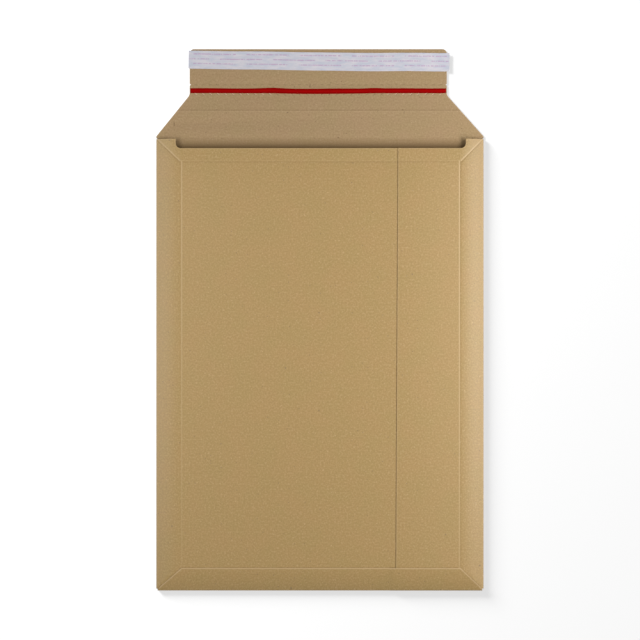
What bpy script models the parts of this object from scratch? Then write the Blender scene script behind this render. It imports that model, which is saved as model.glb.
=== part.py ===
"""Expandable cardboard envelope, lying seam side up with its closing flap open.

X runs across the envelope, Y towards the closing flap and Z up from the table.
The board is drawn flat, in sheet coordinates (u, v), and then folded: the rear
panel lies at its true place in the flat sheet, and the two front panels and the
bottom flap follow it beyond their folds.
"""

import math

import bmesh
import bpy
from mathutils import Vector

# Board and folded envelope, in metres
BOARD = 0.0006
ENVELOPE_WIDTH = 0.330
ENVELOPE_HEIGHT = 0.456
FOLD_GAP = 0.0008           # between the two layers inside a side fold
FOLD_SPRING = math.radians(20.0)    # how far a side fold stands open
GLUE_GAP = 0.00018          # between two layers that are glued together
LAYER = BOARD + GLUE_GAP

# Front panels
CREASE_BORDER = 0.025       # from the side folds to the capacity creases
TOP_CREASE_BORDER = 0.023
RIGHT_PANEL_AT_MOUTH = 0.0869
SEAM_LEAN = 0.0022          # the cut edge leans this much over the panel's length
SEAM_OVERLAP = 0.022
PANEL_SETBACK = 0.0020      # the panels stop short of the bottom fold
CORNER_TAB = 0.0192
TAB_GAP = 0.0005
NOTCH_DEPTH = 0.010
NOTCH_RADIUS = 0.0050

# Bottom flap, glued over both front panels
BOTTOM_FLAP = 0.0227
BOTTOM_MITRE = 0.0235
BOTTOM_CORNER = 0.0022
STEP_LENGTH = 0.006         # the flap climbs from the left panel to the right one

# Creases, pressed from the board's outer face: a groove there and a bead inside
CREASE_DEPTH = 0.00016
CREASE_HALF_WIDTH = 0.0008

# Closing flap
FLAP_GAP = 0.0003
FLAP_LENGTH = 0.090
FLAP_SHOULDER = 0.004
FLAP_FLARE = 0.0425
FLAP_TAB_WIDTH = 0.2594
FLAP_TAB_OFFSET = -0.0017
FLAP_CORNER_RADIUS = 0.0045
FLAP_NECK_RADIUS = 0.0020
FLAP_CREASE = 0.0285

# Tear strip and the perforations beside it
TEAR_STRIP_BASE = 0.0455
TEAR_STRIP_WIDTH = 0.0050
TEAR_STRIP_INSET = 0.0007
TEAR_FILM = 0.00010
PERFORATION_PITCH = 0.0075
PERFORATION_CUT = 0.0028
PERFORATION_WIDTH = 0.00030
PERFORATION_ABOVE = 0.0036
PERFORATION_BELOW = 0.0012
PERFORATION_SLANT = math.radians(38.0)
PERFORATION_MARGIN = 0.004
TEAR_NICK_DEPTH = 0.0012    # notches in the tab's sides, where the tear starts
TEAR_NICK_WIDTH = 0.0020

# Adhesive strip and its release liner
ADHESIVE_WIDTH = 0.0150
ADHESIVE_INSET = 0.0025
ADHESIVE_FILM = 0.00012
LINER_WIDTH = 0.0185
LINER_LENGTH = 0.2632
LINER_PAPER = 0.00009
LINER_BASE = 0.0782
LINER_OFFSET = 0.0008
LINER_TILT = math.radians(-0.48)
FILM_CLEARANCE = 0.00005    # between a thin film and what it is stuck to

# Glue lines
GLUE_FILM = 0.00008
SEAM_GLUE_WIDTH = 0.012
GLUE_MARGIN = 0.008
SEAM_GLUE_END = 0.004       # the seam's glue stops this far short of the top crease

# Hinge line of the closing flap
CLOSED_CLEARANCE = 0.0003

# Mesh fineness
FOLD_STEPS = 10
ARCH_STEPS = 8
CORNER_STEPS = 8
LIFT_STEPS = 4
SHARP_ANGLE = math.radians(32.0)
TOUCH = 1e-6                # points this close lie on the same line

# Outer places
HALF_WIDTH = ENVELOPE_WIDTH / 2
BOTTOM_Y = -(ENVELOPE_HEIGHT + FLAP_LENGTH) / 2
CREASE_Y = BOTTOM_Y + ENVELOPE_HEIGHT
MOUTH_Y = CREASE_Y - NOTCH_DEPTH
PANEL_Y = BOTTOM_Y + PANEL_SETBACK

# Side folds: an arc of board from the rear panel up to a front panel
SIDE_ARC = (FOLD_GAP + BOARD) / 2
SIDE_FOLD_X = HALF_WIDTH - SIDE_ARC - BOARD / 2
FOLD_TURN = math.pi - FOLD_SPRING
SIDE_FOLD_LENGTH = math.pi * SIDE_ARC
PANEL_X = SIDE_FOLD_X + SIDE_ARC * math.sin(FOLD_SPRING)
PANEL_Z = BOARD / 2 + SIDE_ARC * (1 + math.cos(FOLD_SPRING))

# Arch of the front panels, which stand clear of the rear panel
CREASE_X = HALF_WIDTH - CREASE_BORDER
ARCH_SPAN = PANEL_X - CREASE_X
LEFT_RISE = ARCH_SPAN * math.tan(FOLD_SPRING) / 2
RIGHT_RISE = LEFT_RISE + LAYER
FRONT_TOP_Z = PANEL_Z + RIGHT_RISE + BOARD / 2

# Seam between the two front panels
SEAM_MOUTH_X = HALF_WIDTH - RIGHT_PANEL_AT_MOUTH
SEAM_SLOPE = SEAM_LEAN / (MOUTH_Y - PANEL_Y)

# Bottom fold in the flat sheet
BOTTOM_FOLD_V = BOTTOM_Y + PANEL_SETBACK - BOARD / 2
BOTTOM_FOLD_LENGTH = 0.004
BOTTOM_EDGE_Y = BOTTOM_Y + BOTTOM_FLAP

# Perforations in the closing flap
LOWER_ROW_Y = CREASE_Y + TEAR_STRIP_BASE - PERFORATION_BELOW
UPPER_ROW_Y = CREASE_Y + TEAR_STRIP_BASE + TEAR_STRIP_WIDTH + PERFORATION_ABOVE

# Hinge line: the closed flap lies on the front panels
FLAP_STACK = BOARD + ADHESIVE_FILM + LINER_PAPER + 2 * FILM_CLEARANCE
HINGE_Z = (FRONT_TOP_Z + FLAP_STACK + CLOSED_CLEARANCE) / 2


def seam_x(y):
    """Place across the envelope of the right panel's cut edge."""
    return SEAM_MOUTH_X - SEAM_SLOPE * (MOUTH_Y - y)


def arch(distance):
    """Share of a panel's rise at a distance from its fold, 1 past the crease."""
    inward = min(distance / ARCH_SPAN, 1.0)
    return 1.0 - (1.0 - inward) ** 2


def smooth_step(value):
    """Ease from 0 to 1."""
    share = min(max(value, 0.0), 1.0)
    return share * share * (3.0 - 2.0 * share)


def left_panel_z(x, y):
    """Middle of the left panel's board."""
    return PANEL_Z + LEFT_RISE * min(arch(PANEL_X - abs(x)), arch(y - PANEL_Y))


def right_panel_z(x, y):
    """Middle of the right panel's board, which lies one layer higher."""
    side = RIGHT_RISE * arch(PANEL_X - abs(x))
    bottom = LAYER + LEFT_RISE * arch(y - PANEL_Y)
    return PANEL_Z + min(side, bottom)


def crease_depth(x, y, start, end):
    """Depth of a crease at a point, from the crease's two ends."""
    run_x, run_y = end[0] - start[0], end[1] - start[1]
    length = math.hypot(run_x, run_y)
    along = ((x - start[0]) * run_x + (y - start[1]) * run_y) / length
    across = abs((x - start[0]) * run_y - (y - start[1]) * run_x) / length
    if along < -CREASE_HALF_WIDTH or along > length + CREASE_HALF_WIDTH:
        return 0.0
    return CREASE_DEPTH * max(0.0, 1.0 - across / CREASE_HALF_WIDTH)


def panel_creases(side):
    """Capacity creases of one front panel: diagonal, top and side."""
    outer = (side * PANEL_X, CREASE_Y)
    corner = (side * CREASE_X, CREASE_Y - TOP_CREASE_BORDER)
    hidden = 0.0 if side > 0 else SEAM_OVERLAP
    seam_end = (seam_x(corner[1]) + hidden, corner[1])
    foot = (side * CREASE_X, BOTTOM_EDGE_Y)
    return [(outer, corner), (corner, seam_end), (corner, foot)]


def panel_groove(side, x, y):
    """Depth of the creases in a front panel."""
    return max(crease_depth(x, y, start, end) for start, end in panel_creases(side))


def fold_side(u, v):
    """Place a sheet point that lies beyond a side fold."""
    side = math.copysign(1.0, u)
    past = abs(u) - SIDE_FOLD_X
    if past <= SIDE_FOLD_LENGTH:
        turn = FOLD_TURN * past / SIDE_FOLD_LENGTH
        x = SIDE_FOLD_X + SIDE_ARC * math.sin(turn)
        return Vector((side * x, v, BOARD / 2 + SIDE_ARC * (1 - math.cos(turn))))
    x = side * (PANEL_X - (past - SIDE_FOLD_LENGTH))
    level = right_panel_z if side > 0 else left_panel_z
    return Vector((x, v, level(x, v) - panel_groove(side, x, v)))


def flap_lift(x):
    """Extra height of the bottom flap where it lies on the right panel."""
    top = seam_x(BOTTOM_EDGE_Y) - SEAM_LEAN
    return LAYER * smooth_step((x - (top - STEP_LENGTH)) / STEP_LENGTH)


def bottom_arc(x):
    """Radius of the bottom fold, which takes in the panels under the flap."""
    rise, slope = math.cos(FOLD_SPRING), math.tan(FOLD_SPRING)
    height = PANEL_Z + LAYER + flap_lift(x) - BOARD / 2
    height -= (PANEL_SETBACK - BOARD / 2) * slope
    return height / (1 + rise - (1 - math.sin(FOLD_SPRING)) * slope)


def fold_bottom(u, v):
    """Place a sheet point that lies beyond the bottom fold."""
    radius = bottom_arc(u)
    centre_y = BOTTOM_Y + BOARD / 2 + radius
    past = BOTTOM_FOLD_V - v
    if past <= BOTTOM_FOLD_LENGTH:
        turn = FOLD_TURN * past / BOTTOM_FOLD_LENGTH
        y = centre_y - radius * math.sin(turn)
        return Vector((u, y, BOARD / 2 + radius * (1 - math.cos(turn))))
    y = bottom_flap_y(v)
    level = PANEL_Z + LEFT_RISE * arch(y - PANEL_Y)
    return Vector((u, y, level + LAYER + flap_lift(u)))


def bottom_flap_y(v):
    """Place along the envelope of a sheet point on the bottom flap."""
    return PANEL_Y + (BOTTOM_FOLD_V - BOTTOM_FOLD_LENGTH - v)


def bottom_flap_v(y):
    """Sheet coordinate of a place on the bottom flap."""
    return BOTTOM_FOLD_V - BOTTOM_FOLD_LENGTH - (y - PANEL_Y)


def panel_u(x, side):
    """Sheet coordinate of a place on a front panel."""
    return side * (SIDE_FOLD_X + SIDE_FOLD_LENGTH + PANEL_X) - x


def fold(u, v):
    """Place one point of the flat sheet on the folded board's middle surface."""
    if abs(u) > SIDE_FOLD_X + TOUCH and v > PANEL_Y - TOUCH:
        return fold_side(u, v)
    if v < BOTTOM_FOLD_V + TOUCH:
        return fold_bottom(u, v)
    return Vector((u, v, BOARD / 2))


def round_corner(corner, entry, leave, radius):
    """Points of an arc that rounds a corner between two unit directions."""
    turn = entry.angle_signed(leave)
    reach = radius * math.tan(abs(turn) / 2)
    start = corner - entry * reach
    side = Vector((-entry.y, entry.x)) * math.copysign(1.0, -turn)
    centre = start + side * radius
    points = []
    for step in range(CORNER_STEPS + 1):
        angle = -turn * step / CORNER_STEPS
        spoke = start - centre
        cosine, sine = math.cos(angle), math.sin(angle)
        points.append(centre + Vector((spoke.x * cosine - spoke.y * sine,
                                       spoke.x * sine + spoke.y * cosine)))
    return points


def notch_outline(side, free_x):
    """Upper outline of a front panel, from its free edge round to its side fold."""
    mouth_end = Vector((panel_u(free_x, side), MOUTH_Y))
    corner = Vector((panel_u(side * (HALF_WIDTH - CORNER_TAB), side), MOUTH_Y))
    towards_fold = Vector((-side, 0.0))
    up = Vector((0.0, 1.0))
    tab_top = Vector((corner.x, CREASE_Y - TAB_GAP))
    fold_top = Vector((side * SIDE_FOLD_X, CREASE_Y - TAB_GAP))
    arc = round_corner(corner, towards_fold, up, NOTCH_RADIUS)
    return [mouth_end, *arc, tab_top, fold_top]


def blank_half(side):
    """Outline of one half of the flat blank, from the bottom flap to the crease."""
    if side > 0:
        low_x, high_x = seam_x(PANEL_Y), seam_x(MOUTH_Y)
    else:
        low_x, high_x = seam_x(PANEL_Y) + SEAM_OVERLAP, seam_x(MOUTH_Y) + SEAM_OVERLAP
    flap_x = side * (HALF_WIDTH - BOTTOM_CORNER)
    outline = [
        Vector((side * (HALF_WIDTH - BOTTOM_MITRE), bottom_flap_v(BOTTOM_EDGE_Y))),
        Vector((flap_x, bottom_flap_v(PANEL_Y))),
        Vector((flap_x, BOTTOM_FOLD_V)),
        Vector((side * SIDE_FOLD_X, PANEL_Y)),
        Vector((panel_u(low_x, side), PANEL_Y)),
    ]
    outline += notch_outline(side, high_x)
    outline.append(Vector((side * SIDE_FOLD_X, CREASE_Y)))
    return outline


def new_sheet(outline):
    """Start a flat sheet from the points of its outline."""
    sheet = bmesh.new()
    corners = [sheet.verts.new((point.x, point.y, 0.0)) for point in outline]
    sheet.faces.new(corners)
    return sheet


def score(sheet, start, end, low=None, high=None):
    """Cut the sheet's faces along the line through two points.

    With low and high, only the faces that lie between these corners are cut.
    """
    faces = list(sheet.faces)
    if low is not None:
        faces = [face for face in faces if lies_within(face, low, high)]
    cut = set(faces)
    for face in faces:
        cut.update(face.edges)
        cut.update(face.verts)
    run = Vector((end[0] - start[0], end[1] - start[1], 0.0))
    bmesh.ops.bisect_plane(sheet, geom=list(cut), dist=TOUCH,
                           plane_co=(start[0], start[1], 0.0),
                           plane_no=(run.y, -run.x, 0.0))


def lies_within(face, low, high):
    """Tell whether a face lies between two corners of the sheet."""
    centre = face.calc_center_median()
    return low[0] < centre.x < high[0] and low[1] < centre.y < high[1]


def score_across(sheet, places):
    """Cut the whole sheet at places across it, along lines parallel to Y."""
    for u in places:
        score(sheet, (u, 0.0), (u, 1.0))


def score_along(sheet, places):
    """Cut the whole sheet at places along it, along lines parallel to X."""
    for v in places:
        score(sheet, (0.0, v), (1.0, v))


def crease_lines(place):
    """Middle and both sides of a crease."""
    return [place - CREASE_HALF_WIDTH, place, place + CREASE_HALF_WIDTH]


def score_diagonal(sheet, side):
    """Cut the corner tab's square along its diagonal crease and both its sides."""
    (outer, corner), _, _ = panel_creases(side)
    start = Vector((panel_u(outer[0], side), outer[1]))
    end = Vector((panel_u(corner[0], side), corner[1]))
    low = (min(start.x, end.x), min(start.y, end.y))
    high = (max(start.x, end.x), max(start.y, end.y))
    run = (end - start).normalized()
    for shift in crease_lines(0.0):
        offset = Vector((-run.y, run.x)) * shift
        score(sheet, start + offset, end + offset, low, high)


def score_hip(sheet, side):
    """Cut a bottom corner where the side arch meets the bottom arch."""
    inset = 0.0
    if side > 0:
        inset = ARCH_SPAN * (1 - math.sqrt(LEFT_RISE / RIGHT_RISE))
    start = Vector((panel_u(side * (PANEL_X - inset), side), PANEL_Y))
    end = Vector((panel_u(side * CREASE_X, side), PANEL_Y + ARCH_SPAN))
    edge = panel_u(side * PANEL_X, side)
    low = (min(edge, end.x), PANEL_Y)
    high = (max(edge, end.x), end.y)
    score(sheet, start, end, low, high)


def score_board(sheet):
    """Cut the flat blank along its folds, arches and creases."""
    arch_steps = [ARCH_SPAN * step / ARCH_STEPS for step in range(ARCH_STEPS + 1)]
    for side in (-1.0, 1.0):
        fold_steps = [SIDE_FOLD_X + SIDE_FOLD_LENGTH * step / FOLD_STEPS
                      for step in range(FOLD_STEPS + 1)]
        score_across(sheet, [side * step for step in fold_steps])
        places = [side * (PANEL_X - step) for step in arch_steps]
        places += crease_lines(side * CREASE_X)
        score_across(sheet, [panel_u(place, side) for place in places])
    step_end = seam_x(BOTTOM_EDGE_Y) - SEAM_LEAN
    score_across(sheet, [step_end - STEP_LENGTH * step / LIFT_STEPS
                         for step in range(LIFT_STEPS + 1)])
    fold_steps = [BOTTOM_FOLD_LENGTH * step / FOLD_STEPS for step in range(FOLD_STEPS + 1)]
    score_along(sheet, [BOTTOM_FOLD_V - step for step in fold_steps])
    score_along(sheet, [bottom_flap_v(PANEL_Y + step) for step in arch_steps])
    score_along(sheet, [PANEL_Y + step for step in arch_steps])
    score_along(sheet, crease_lines(CREASE_Y - TOP_CREASE_BORDER))
    for side in (-1.0, 1.0):
        score_diagonal(sheet, side)
        score_hip(sheet, side)


def place_sheet(sheet, placing):
    """Move each point of a flat sheet to its folded place."""
    for corner in sheet.verts:
        corner.co = placing(corner.co.x, corner.co.y)


def make_material(name, colour, roughness, coat=0.0):
    """Plain finish with the part's own colour and roughness."""
    material = bpy.data.materials.new(name)
    material.use_nodes = True
    shader = material.node_tree.nodes["Principled BSDF"]
    shader.inputs["Base Color"].default_value = (*colour, 1.0)
    shader.inputs["Roughness"].default_value = roughness
    shader.inputs["Metallic"].default_value = 0.0
    shader.inputs["Coat Weight"].default_value = coat
    material.diffuse_color = (*colour, 1.0)
    return material


def make_part(name, sheet, thickness, material, parent):
    """Turn a placed sheet into a part of even thickness around its surface."""
    for edge in sheet.edges:
        if edge.is_boundary:
            edge.smooth = False
    mesh = bpy.data.meshes.new(name)
    sheet.to_mesh(mesh)
    sheet.free()
    mesh.shade_smooth()
    mesh.set_sharp_from_angle(angle=SHARP_ANGLE)
    mesh.materials.append(material)
    part = bpy.data.objects.new(name, mesh)
    bpy.context.scene.collection.objects.link(part)
    walls = part.modifiers.new("thickness", "SOLIDIFY")
    walls.thickness = thickness
    walls.offset = 0.0
    walls.use_even_offset = True
    part.parent = parent
    if parent is not None:
        part.matrix_parent_inverse = parent.matrix_world.inverted()
    return part


def make_folded_board(material):
    """Rear panel, side folds, front panels and bottom flap, in one piece."""
    right = blank_half(1.0)
    left = blank_half(-1.0)
    sheet = new_sheet(right + left[::-1])
    score_board(sheet)
    place_sheet(sheet, fold)
    return make_part("folded_board", sheet, BOARD, material, None)


def glue_strip(name, low, high, columns, rows, placing, material):
    """Thin glue film between two layers, from its lowest to its highest corner."""
    outline = [Vector(low), Vector((high[0], low[1])), Vector(high), Vector((low[0], high[1]))]
    sheet = new_sheet(outline)
    score_across(sheet, columns)
    score_along(sheet, rows)
    place_sheet(sheet, placing)
    return make_part(name, sheet, GLUE_FILM, material, None)


def make_seam_glue(material):
    """Glue line that holds the right panel down on the left one."""
    def placing(across, y):
        x = seam_x(y) + across
        return Vector((x, y, (left_panel_z(x, y) + right_panel_z(x, y)) / 2))

    start = (SEAM_OVERLAP - SEAM_GLUE_WIDTH) / 2
    low = (start, PANEL_Y + GLUE_MARGIN)
    high = (start + SEAM_GLUE_WIDTH, CREASE_Y - TOP_CREASE_BORDER - SEAM_GLUE_END)
    rows = [PANEL_Y + ARCH_SPAN * step / ARCH_STEPS for step in range(ARCH_STEPS + 1)]
    return glue_strip("seam_glue", low, high, [], rows, placing, material)


def make_bottom_glue(material):
    """Glue line that holds the bottom flap down on the left front panel."""
    def placing(x, y):
        level = PANEL_Z + LEFT_RISE * arch(y - PANEL_Y)
        return Vector((x, y, level + LAYER / 2))

    low = (GLUE_MARGIN - (HALF_WIDTH - BOTTOM_MITRE), PANEL_Y + GLUE_MARGIN / 2)
    high = (seam_x(BOTTOM_EDGE_Y) - SEAM_LEAN - STEP_LENGTH - GLUE_MARGIN / 2,
            BOTTOM_EDGE_Y - GLUE_MARGIN / 2)
    rows = [PANEL_Y + ARCH_SPAN * step / ARCH_STEPS for step in range(ARCH_STEPS + 1)]
    return glue_strip("bottom_glue", low, high, [], rows, placing, material)


def flap_side(side):
    """Outline of one side of the closing flap, from its crease up to its rounded corner."""
    base = Vector((side * HALF_WIDTH, CREASE_Y + FLAP_GAP))
    shoulder = Vector((side * HALF_WIDTH, CREASE_Y + FLAP_SHOULDER))
    tab_x = FLAP_TAB_OFFSET + side * FLAP_TAB_WIDTH / 2
    neck = Vector((tab_x, CREASE_Y + FLAP_FLARE))
    corner = Vector((tab_x, CREASE_Y + FLAP_LENGTH))
    up, inward = Vector((0.0, 1.0)), Vector((-side, 0.0))
    nick = [Vector((tab_x, UPPER_ROW_Y - TEAR_NICK_WIDTH / 2)),
            Vector((tab_x - side * TEAR_NICK_DEPTH, UPPER_ROW_Y)),
            Vector((tab_x, UPPER_ROW_Y + TEAR_NICK_WIDTH / 2))]
    return [base, shoulder,
            *round_corner(neck, (neck - shoulder).normalized(), up, FLAP_NECK_RADIUS),
            *nick,
            *round_corner(corner, up, inward, FLAP_CORNER_RADIUS)]


def flap_outline():
    """Outline of the closing flap, with its flared shoulders and rounded tab."""
    return flap_side(1.0) + flap_side(-1.0)[::-1]


def place_flap(x, y):
    """Lay the closing flap on the table, with the bead of its second crease on top."""
    place = CREASE_Y + FLAP_CREASE
    bead = crease_depth(x, y, (-HALF_WIDTH, place), (HALF_WIDTH, place))
    return Vector((x, y, BOARD / 2 + bead))


def add_cut(cutter, centre, slant):
    """Add one short slot of the perforation to the cutter's mesh."""
    along = Vector((math.cos(slant), math.sin(slant), 0.0)) * PERFORATION_CUT / 2
    across = Vector((-math.sin(slant), math.cos(slant), 0.0)) * PERFORATION_WIDTH / 2
    foot = Vector((centre[0], centre[1], -BOARD))
    loop = [foot - along - across, foot + along - across,
            foot + along + across, foot - along + across]
    base = cutter.faces.new([cutter.verts.new(point) for point in reversed(loop)])
    lifted = bmesh.ops.extrude_face_region(cutter, geom=[base], use_keep_orig=True)
    moved = [item for item in lifted["geom"] if isinstance(item, bmesh.types.BMVert)]
    bmesh.ops.translate(cutter, verts=moved, vec=(0.0, 0.0, 4 * BOARD))


def make_perforation_cutter(parent):
    """Cutter for the two rows of slots beside the tear strip."""
    span = FLAP_TAB_WIDTH / 2 - PERFORATION_MARGIN
    count = int(span / PERFORATION_PITCH)
    cutter = bmesh.new()
    for side in (-1.0, 1.0):
        for step in range(count):
            x = FLAP_TAB_OFFSET + side * PERFORATION_PITCH * (step + 0.5)
            add_cut(cutter, (x, LOWER_ROW_Y), side * PERFORATION_SLANT)
            add_cut(cutter, (x, UPPER_ROW_Y), 0.0)
    bmesh.ops.recalc_face_normals(cutter, faces=cutter.faces)
    mesh = bpy.data.meshes.new("perforation_cutter")
    cutter.to_mesh(mesh)
    cutter.free()
    guide = bpy.data.objects.new("perforation_cutter", mesh)
    bpy.context.scene.collection.objects.link(guide)
    guide.parent = parent
    guide.matrix_parent_inverse = parent.matrix_world.inverted()
    guide.hide_render = True
    guide.display_type = "WIRE"
    return guide


def make_closing_flap(material, parent):
    """Closing flap, open and flat on the table, with its rows of perforation."""
    sheet = new_sheet(flap_outline())
    score_along(sheet, crease_lines(CREASE_Y + FLAP_CREASE))
    place_sheet(sheet, place_flap)
    flap = make_part("closing_flap", sheet, BOARD, material, parent)
    slots = flap.modifiers.new("perforation", "BOOLEAN")
    slots.operation = "DIFFERENCE"
    slots.solver = "EXACT"
    slots.object = make_perforation_cutter(parent)
    return flap


def make_film(name, centre, size, tilt, base, thickness, material, parent):
    """Thin strip that lies on the closing flap, turned by a small angle."""
    middle = base + FILM_CLEARANCE + thickness / 2
    half_x, half_y = size[0] / 2, size[1] / 2
    corners = [(-half_x, -half_y), (half_x, -half_y), (half_x, half_y), (-half_x, half_y)]
    sheet = new_sheet([Vector(corner) for corner in corners])
    cosine, sine = math.cos(tilt), math.sin(tilt)

    def placing(x, y):
        return Vector((centre[0] + x * cosine - y * sine,
                       centre[1] + x * sine + y * cosine, middle))

    place_sheet(sheet, placing)
    return make_part(name, sheet, thickness, material, parent)


def make_flap_films(red, clear, white, parent):
    """Tear strip, adhesive strip and release liner on the closing flap."""
    tear_centre = (FLAP_TAB_OFFSET, CREASE_Y + TEAR_STRIP_BASE + TEAR_STRIP_WIDTH / 2)
    tear_size = (FLAP_TAB_WIDTH - 2 * TEAR_STRIP_INSET, TEAR_STRIP_WIDTH)
    make_film("tear_strip", tear_centre, tear_size, 0.0, BOARD, TEAR_FILM, red, parent)
    liner_centre = (FLAP_TAB_OFFSET + LINER_OFFSET, CREASE_Y + LINER_BASE)
    glue_centre = (FLAP_TAB_OFFSET, CREASE_Y + LINER_BASE)
    glue_size = (FLAP_TAB_WIDTH - 2 * ADHESIVE_INSET, ADHESIVE_WIDTH)
    make_film("adhesive_strip", glue_centre, glue_size, LINER_TILT, BOARD,
              ADHESIVE_FILM, clear, parent)
    liner_base = BOARD + FILM_CLEARANCE + ADHESIVE_FILM
    make_film("release_liner", liner_centre, (LINER_LENGTH, LINER_WIDTH), LINER_TILT,
              liner_base, LINER_PAPER, white, parent)


def make_hinge_line():
    """Empty on the closing flap's hinge line, at half the closed pack's height."""
    hinge = bpy.data.objects.new("flap_hinge", None)
    hinge.location = (0.0, CREASE_Y, HINGE_Z)
    bpy.context.scene.collection.objects.link(hinge)
    bpy.context.view_layer.update()
    return hinge


def main():
    """Build the envelope in an empty scene."""
    for item in list(bpy.data.objects):
        bpy.data.objects.remove(item, do_unlink=True)
    kraft = make_material("kraft_board", (0.45, 0.31, 0.15), 0.80)
    inner_kraft = make_material("kraft_board_inside", (0.39, 0.27, 0.16), 0.85)
    red = make_material("red_film", (0.30, 0.004, 0.004), 0.35, 0.4)
    clear = make_material("adhesive", (0.62, 0.58, 0.48), 0.30)
    white = make_material("liner_paper", (0.57, 0.56, 0.63), 0.45)
    glue = make_material("set_glue", (0.66, 0.62, 0.50), 0.40)
    make_folded_board(kraft)
    make_seam_glue(glue)
    make_bottom_glue(glue)
    hinge = make_hinge_line()
    make_closing_flap(inner_kraft, hinge)
    make_flap_films(red, clear, white, hinge)


main()
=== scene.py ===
"""Looks of an expandable envelope of kraft board, lying seam side up with its flap open.

X runs across the envelope, Y towards the closing flap and Z up from the table, in metres.
The board is cut flat from one plane, in sheet coordinates (u, v), creased and then folded:
the rear panel keeps its place, and the front panels and the bottom flap follow it beyond
their folds.
"""

import logging
import math
from contextlib import contextmanager
from dataclasses import dataclass
from enum import Enum, IntEnum
from typing import Callable, Iterator, Sequence

import bmesh
import bpy
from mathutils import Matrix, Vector


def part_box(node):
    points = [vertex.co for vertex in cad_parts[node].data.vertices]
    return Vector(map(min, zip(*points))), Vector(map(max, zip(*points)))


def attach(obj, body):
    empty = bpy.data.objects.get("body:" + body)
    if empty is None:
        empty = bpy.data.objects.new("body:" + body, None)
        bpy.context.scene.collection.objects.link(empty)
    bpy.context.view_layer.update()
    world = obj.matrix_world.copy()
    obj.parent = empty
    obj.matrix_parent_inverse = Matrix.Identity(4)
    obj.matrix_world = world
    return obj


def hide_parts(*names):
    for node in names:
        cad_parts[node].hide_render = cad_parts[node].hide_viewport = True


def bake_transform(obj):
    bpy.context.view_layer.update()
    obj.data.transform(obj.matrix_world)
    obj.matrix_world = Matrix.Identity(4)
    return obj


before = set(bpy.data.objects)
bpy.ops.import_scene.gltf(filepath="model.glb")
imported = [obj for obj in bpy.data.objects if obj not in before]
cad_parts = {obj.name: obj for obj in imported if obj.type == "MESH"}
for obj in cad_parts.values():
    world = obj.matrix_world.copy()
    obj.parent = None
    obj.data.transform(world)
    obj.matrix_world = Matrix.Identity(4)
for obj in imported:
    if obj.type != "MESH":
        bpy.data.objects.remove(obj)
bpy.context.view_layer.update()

LOG = logging.getLogger("envelope")

SHEET_MAP = "sheet"         # UV map that holds the flat sheet's coordinates, in metres
TONE = "tone"               # point attribute: above 0 where rubbed pale and where highlight is painted, below 0 where pressed and where shade is painted
MERGE_DISTANCE = 1e-6
NEAR_DISTANCE = 2e-5        # how far a point may lie from the place it is picked by
EVEN = (1.0, 1.0, 1.0)      # stretch that leaves a pattern as it is
WHITE = (1.0, 1.0, 1.0)

# Board of every piece, and its cut edges
BOARD = 0.0006
EDGE_BAND = 0.0012          # both narrow bands along a cut edge
EDGE_RIM = 0.0006           # the outer one of them
# cut edges painted paler: rubbed fibre, with a painted highlight
EDGE_TONE = 0.25
EDGE_ROUNDING = 0.00009
ROUNDED_ANGLE = math.radians(50.0)
SMOOTH_ANGLE = math.radians(35.0)
CORNER_STEPS = 10

Test = Callable[[Vector], bool]
PlaceAt = Callable[[float, float], Vector]
ToneAt = Callable[[float, float], float]
Colour = tuple[float, float, float]
Pair = tuple[float, float]
Triple = tuple[float, float, float]
Noise = tuple[float, float, float]          # scale, detail and roughness of a cloudy pattern
Ramp = tuple[float, float, float, float]    # low, high, start and end of a ramp
Socket = bpy.types.NodeSocket


class Side(IntEnum):
    """Left or right half of the envelope, seen from above."""

    LEFT = -1
    RIGHT = 1

    def of(self, pair: Pair) -> float:
        """This side's value from a pair for left and right."""
        return pair[self is Side.RIGHT]


class BoardFace(IntEnum):
    """Material of a face of board, in the order of its object's slots."""

    INSIDE = 0
    OUTSIDE = 1
    CUT_EDGE = 2


class Body(Enum):
    """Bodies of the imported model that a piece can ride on."""

    ENVELOPE = "envelope"
    FLAP = "flap"


class Slot(Enum):
    """Material slots of the record."""

    BOARD = "board"
    BOARD_INSIDE = "board_inside"
    RED_FILM = "red_film"
    LINER = "liner"


# Bench work: selecting by place, and operators on what is selected


def take_up(*pieces: bpy.types.Object) -> None:
    """Select these pieces and nothing else, with the first one active."""
    bpy.ops.object.select_all(action="DESELECT")
    for piece in pieces:
        piece.select_set(True)
    bpy.context.view_layer.objects.active = pieces[0]


@contextmanager
def on_the_bench(piece: bpy.types.Object) -> Iterator[None]:
    """Edit one piece, with everything else deselected.

    Args:
        piece: The mesh object to edit.

    Yields:
        Nothing, while the piece is in edit mode.
    """
    take_up(piece)
    bpy.ops.object.mode_set(mode="EDIT")
    bpy.ops.mesh.select_mode(type="VERT")
    yield
    bpy.ops.object.mode_set(mode="OBJECT")


def edited_mesh() -> bmesh.types.BMesh:
    """Mesh of the piece that is being edited."""
    return bmesh.from_edit_mesh(bpy.context.edit_object.data)


def pick_faces(test: Test) -> None:
    """Select the faces whose middle passes a test, and nothing else.

    Args:
        test: Tells whether a face's middle point is wanted.
    """
    bpy.ops.mesh.select_mode(type="FACE")
    bpy.ops.mesh.select_all(action="DESELECT")
    mesh = edited_mesh()
    for face in mesh.faces:
        if test(face.calc_center_median()):
            face.select_set(True)
    bmesh.update_edit_mesh(bpy.context.edit_object.data)


def pick_points(test: Test) -> None:
    """Select the points that pass a test, and nothing else.

    Args:
        test: Tells whether a point is wanted.
    """
    bpy.ops.mesh.select_mode(type="VERT")
    bpy.ops.mesh.select_all(action="DESELECT")
    mesh = edited_mesh()
    for point in mesh.verts:
        if test(point.co):
            point.select_set(True)
    mesh.select_flush(True)
    bmesh.update_edit_mesh(bpy.context.edit_object.data)


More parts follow.
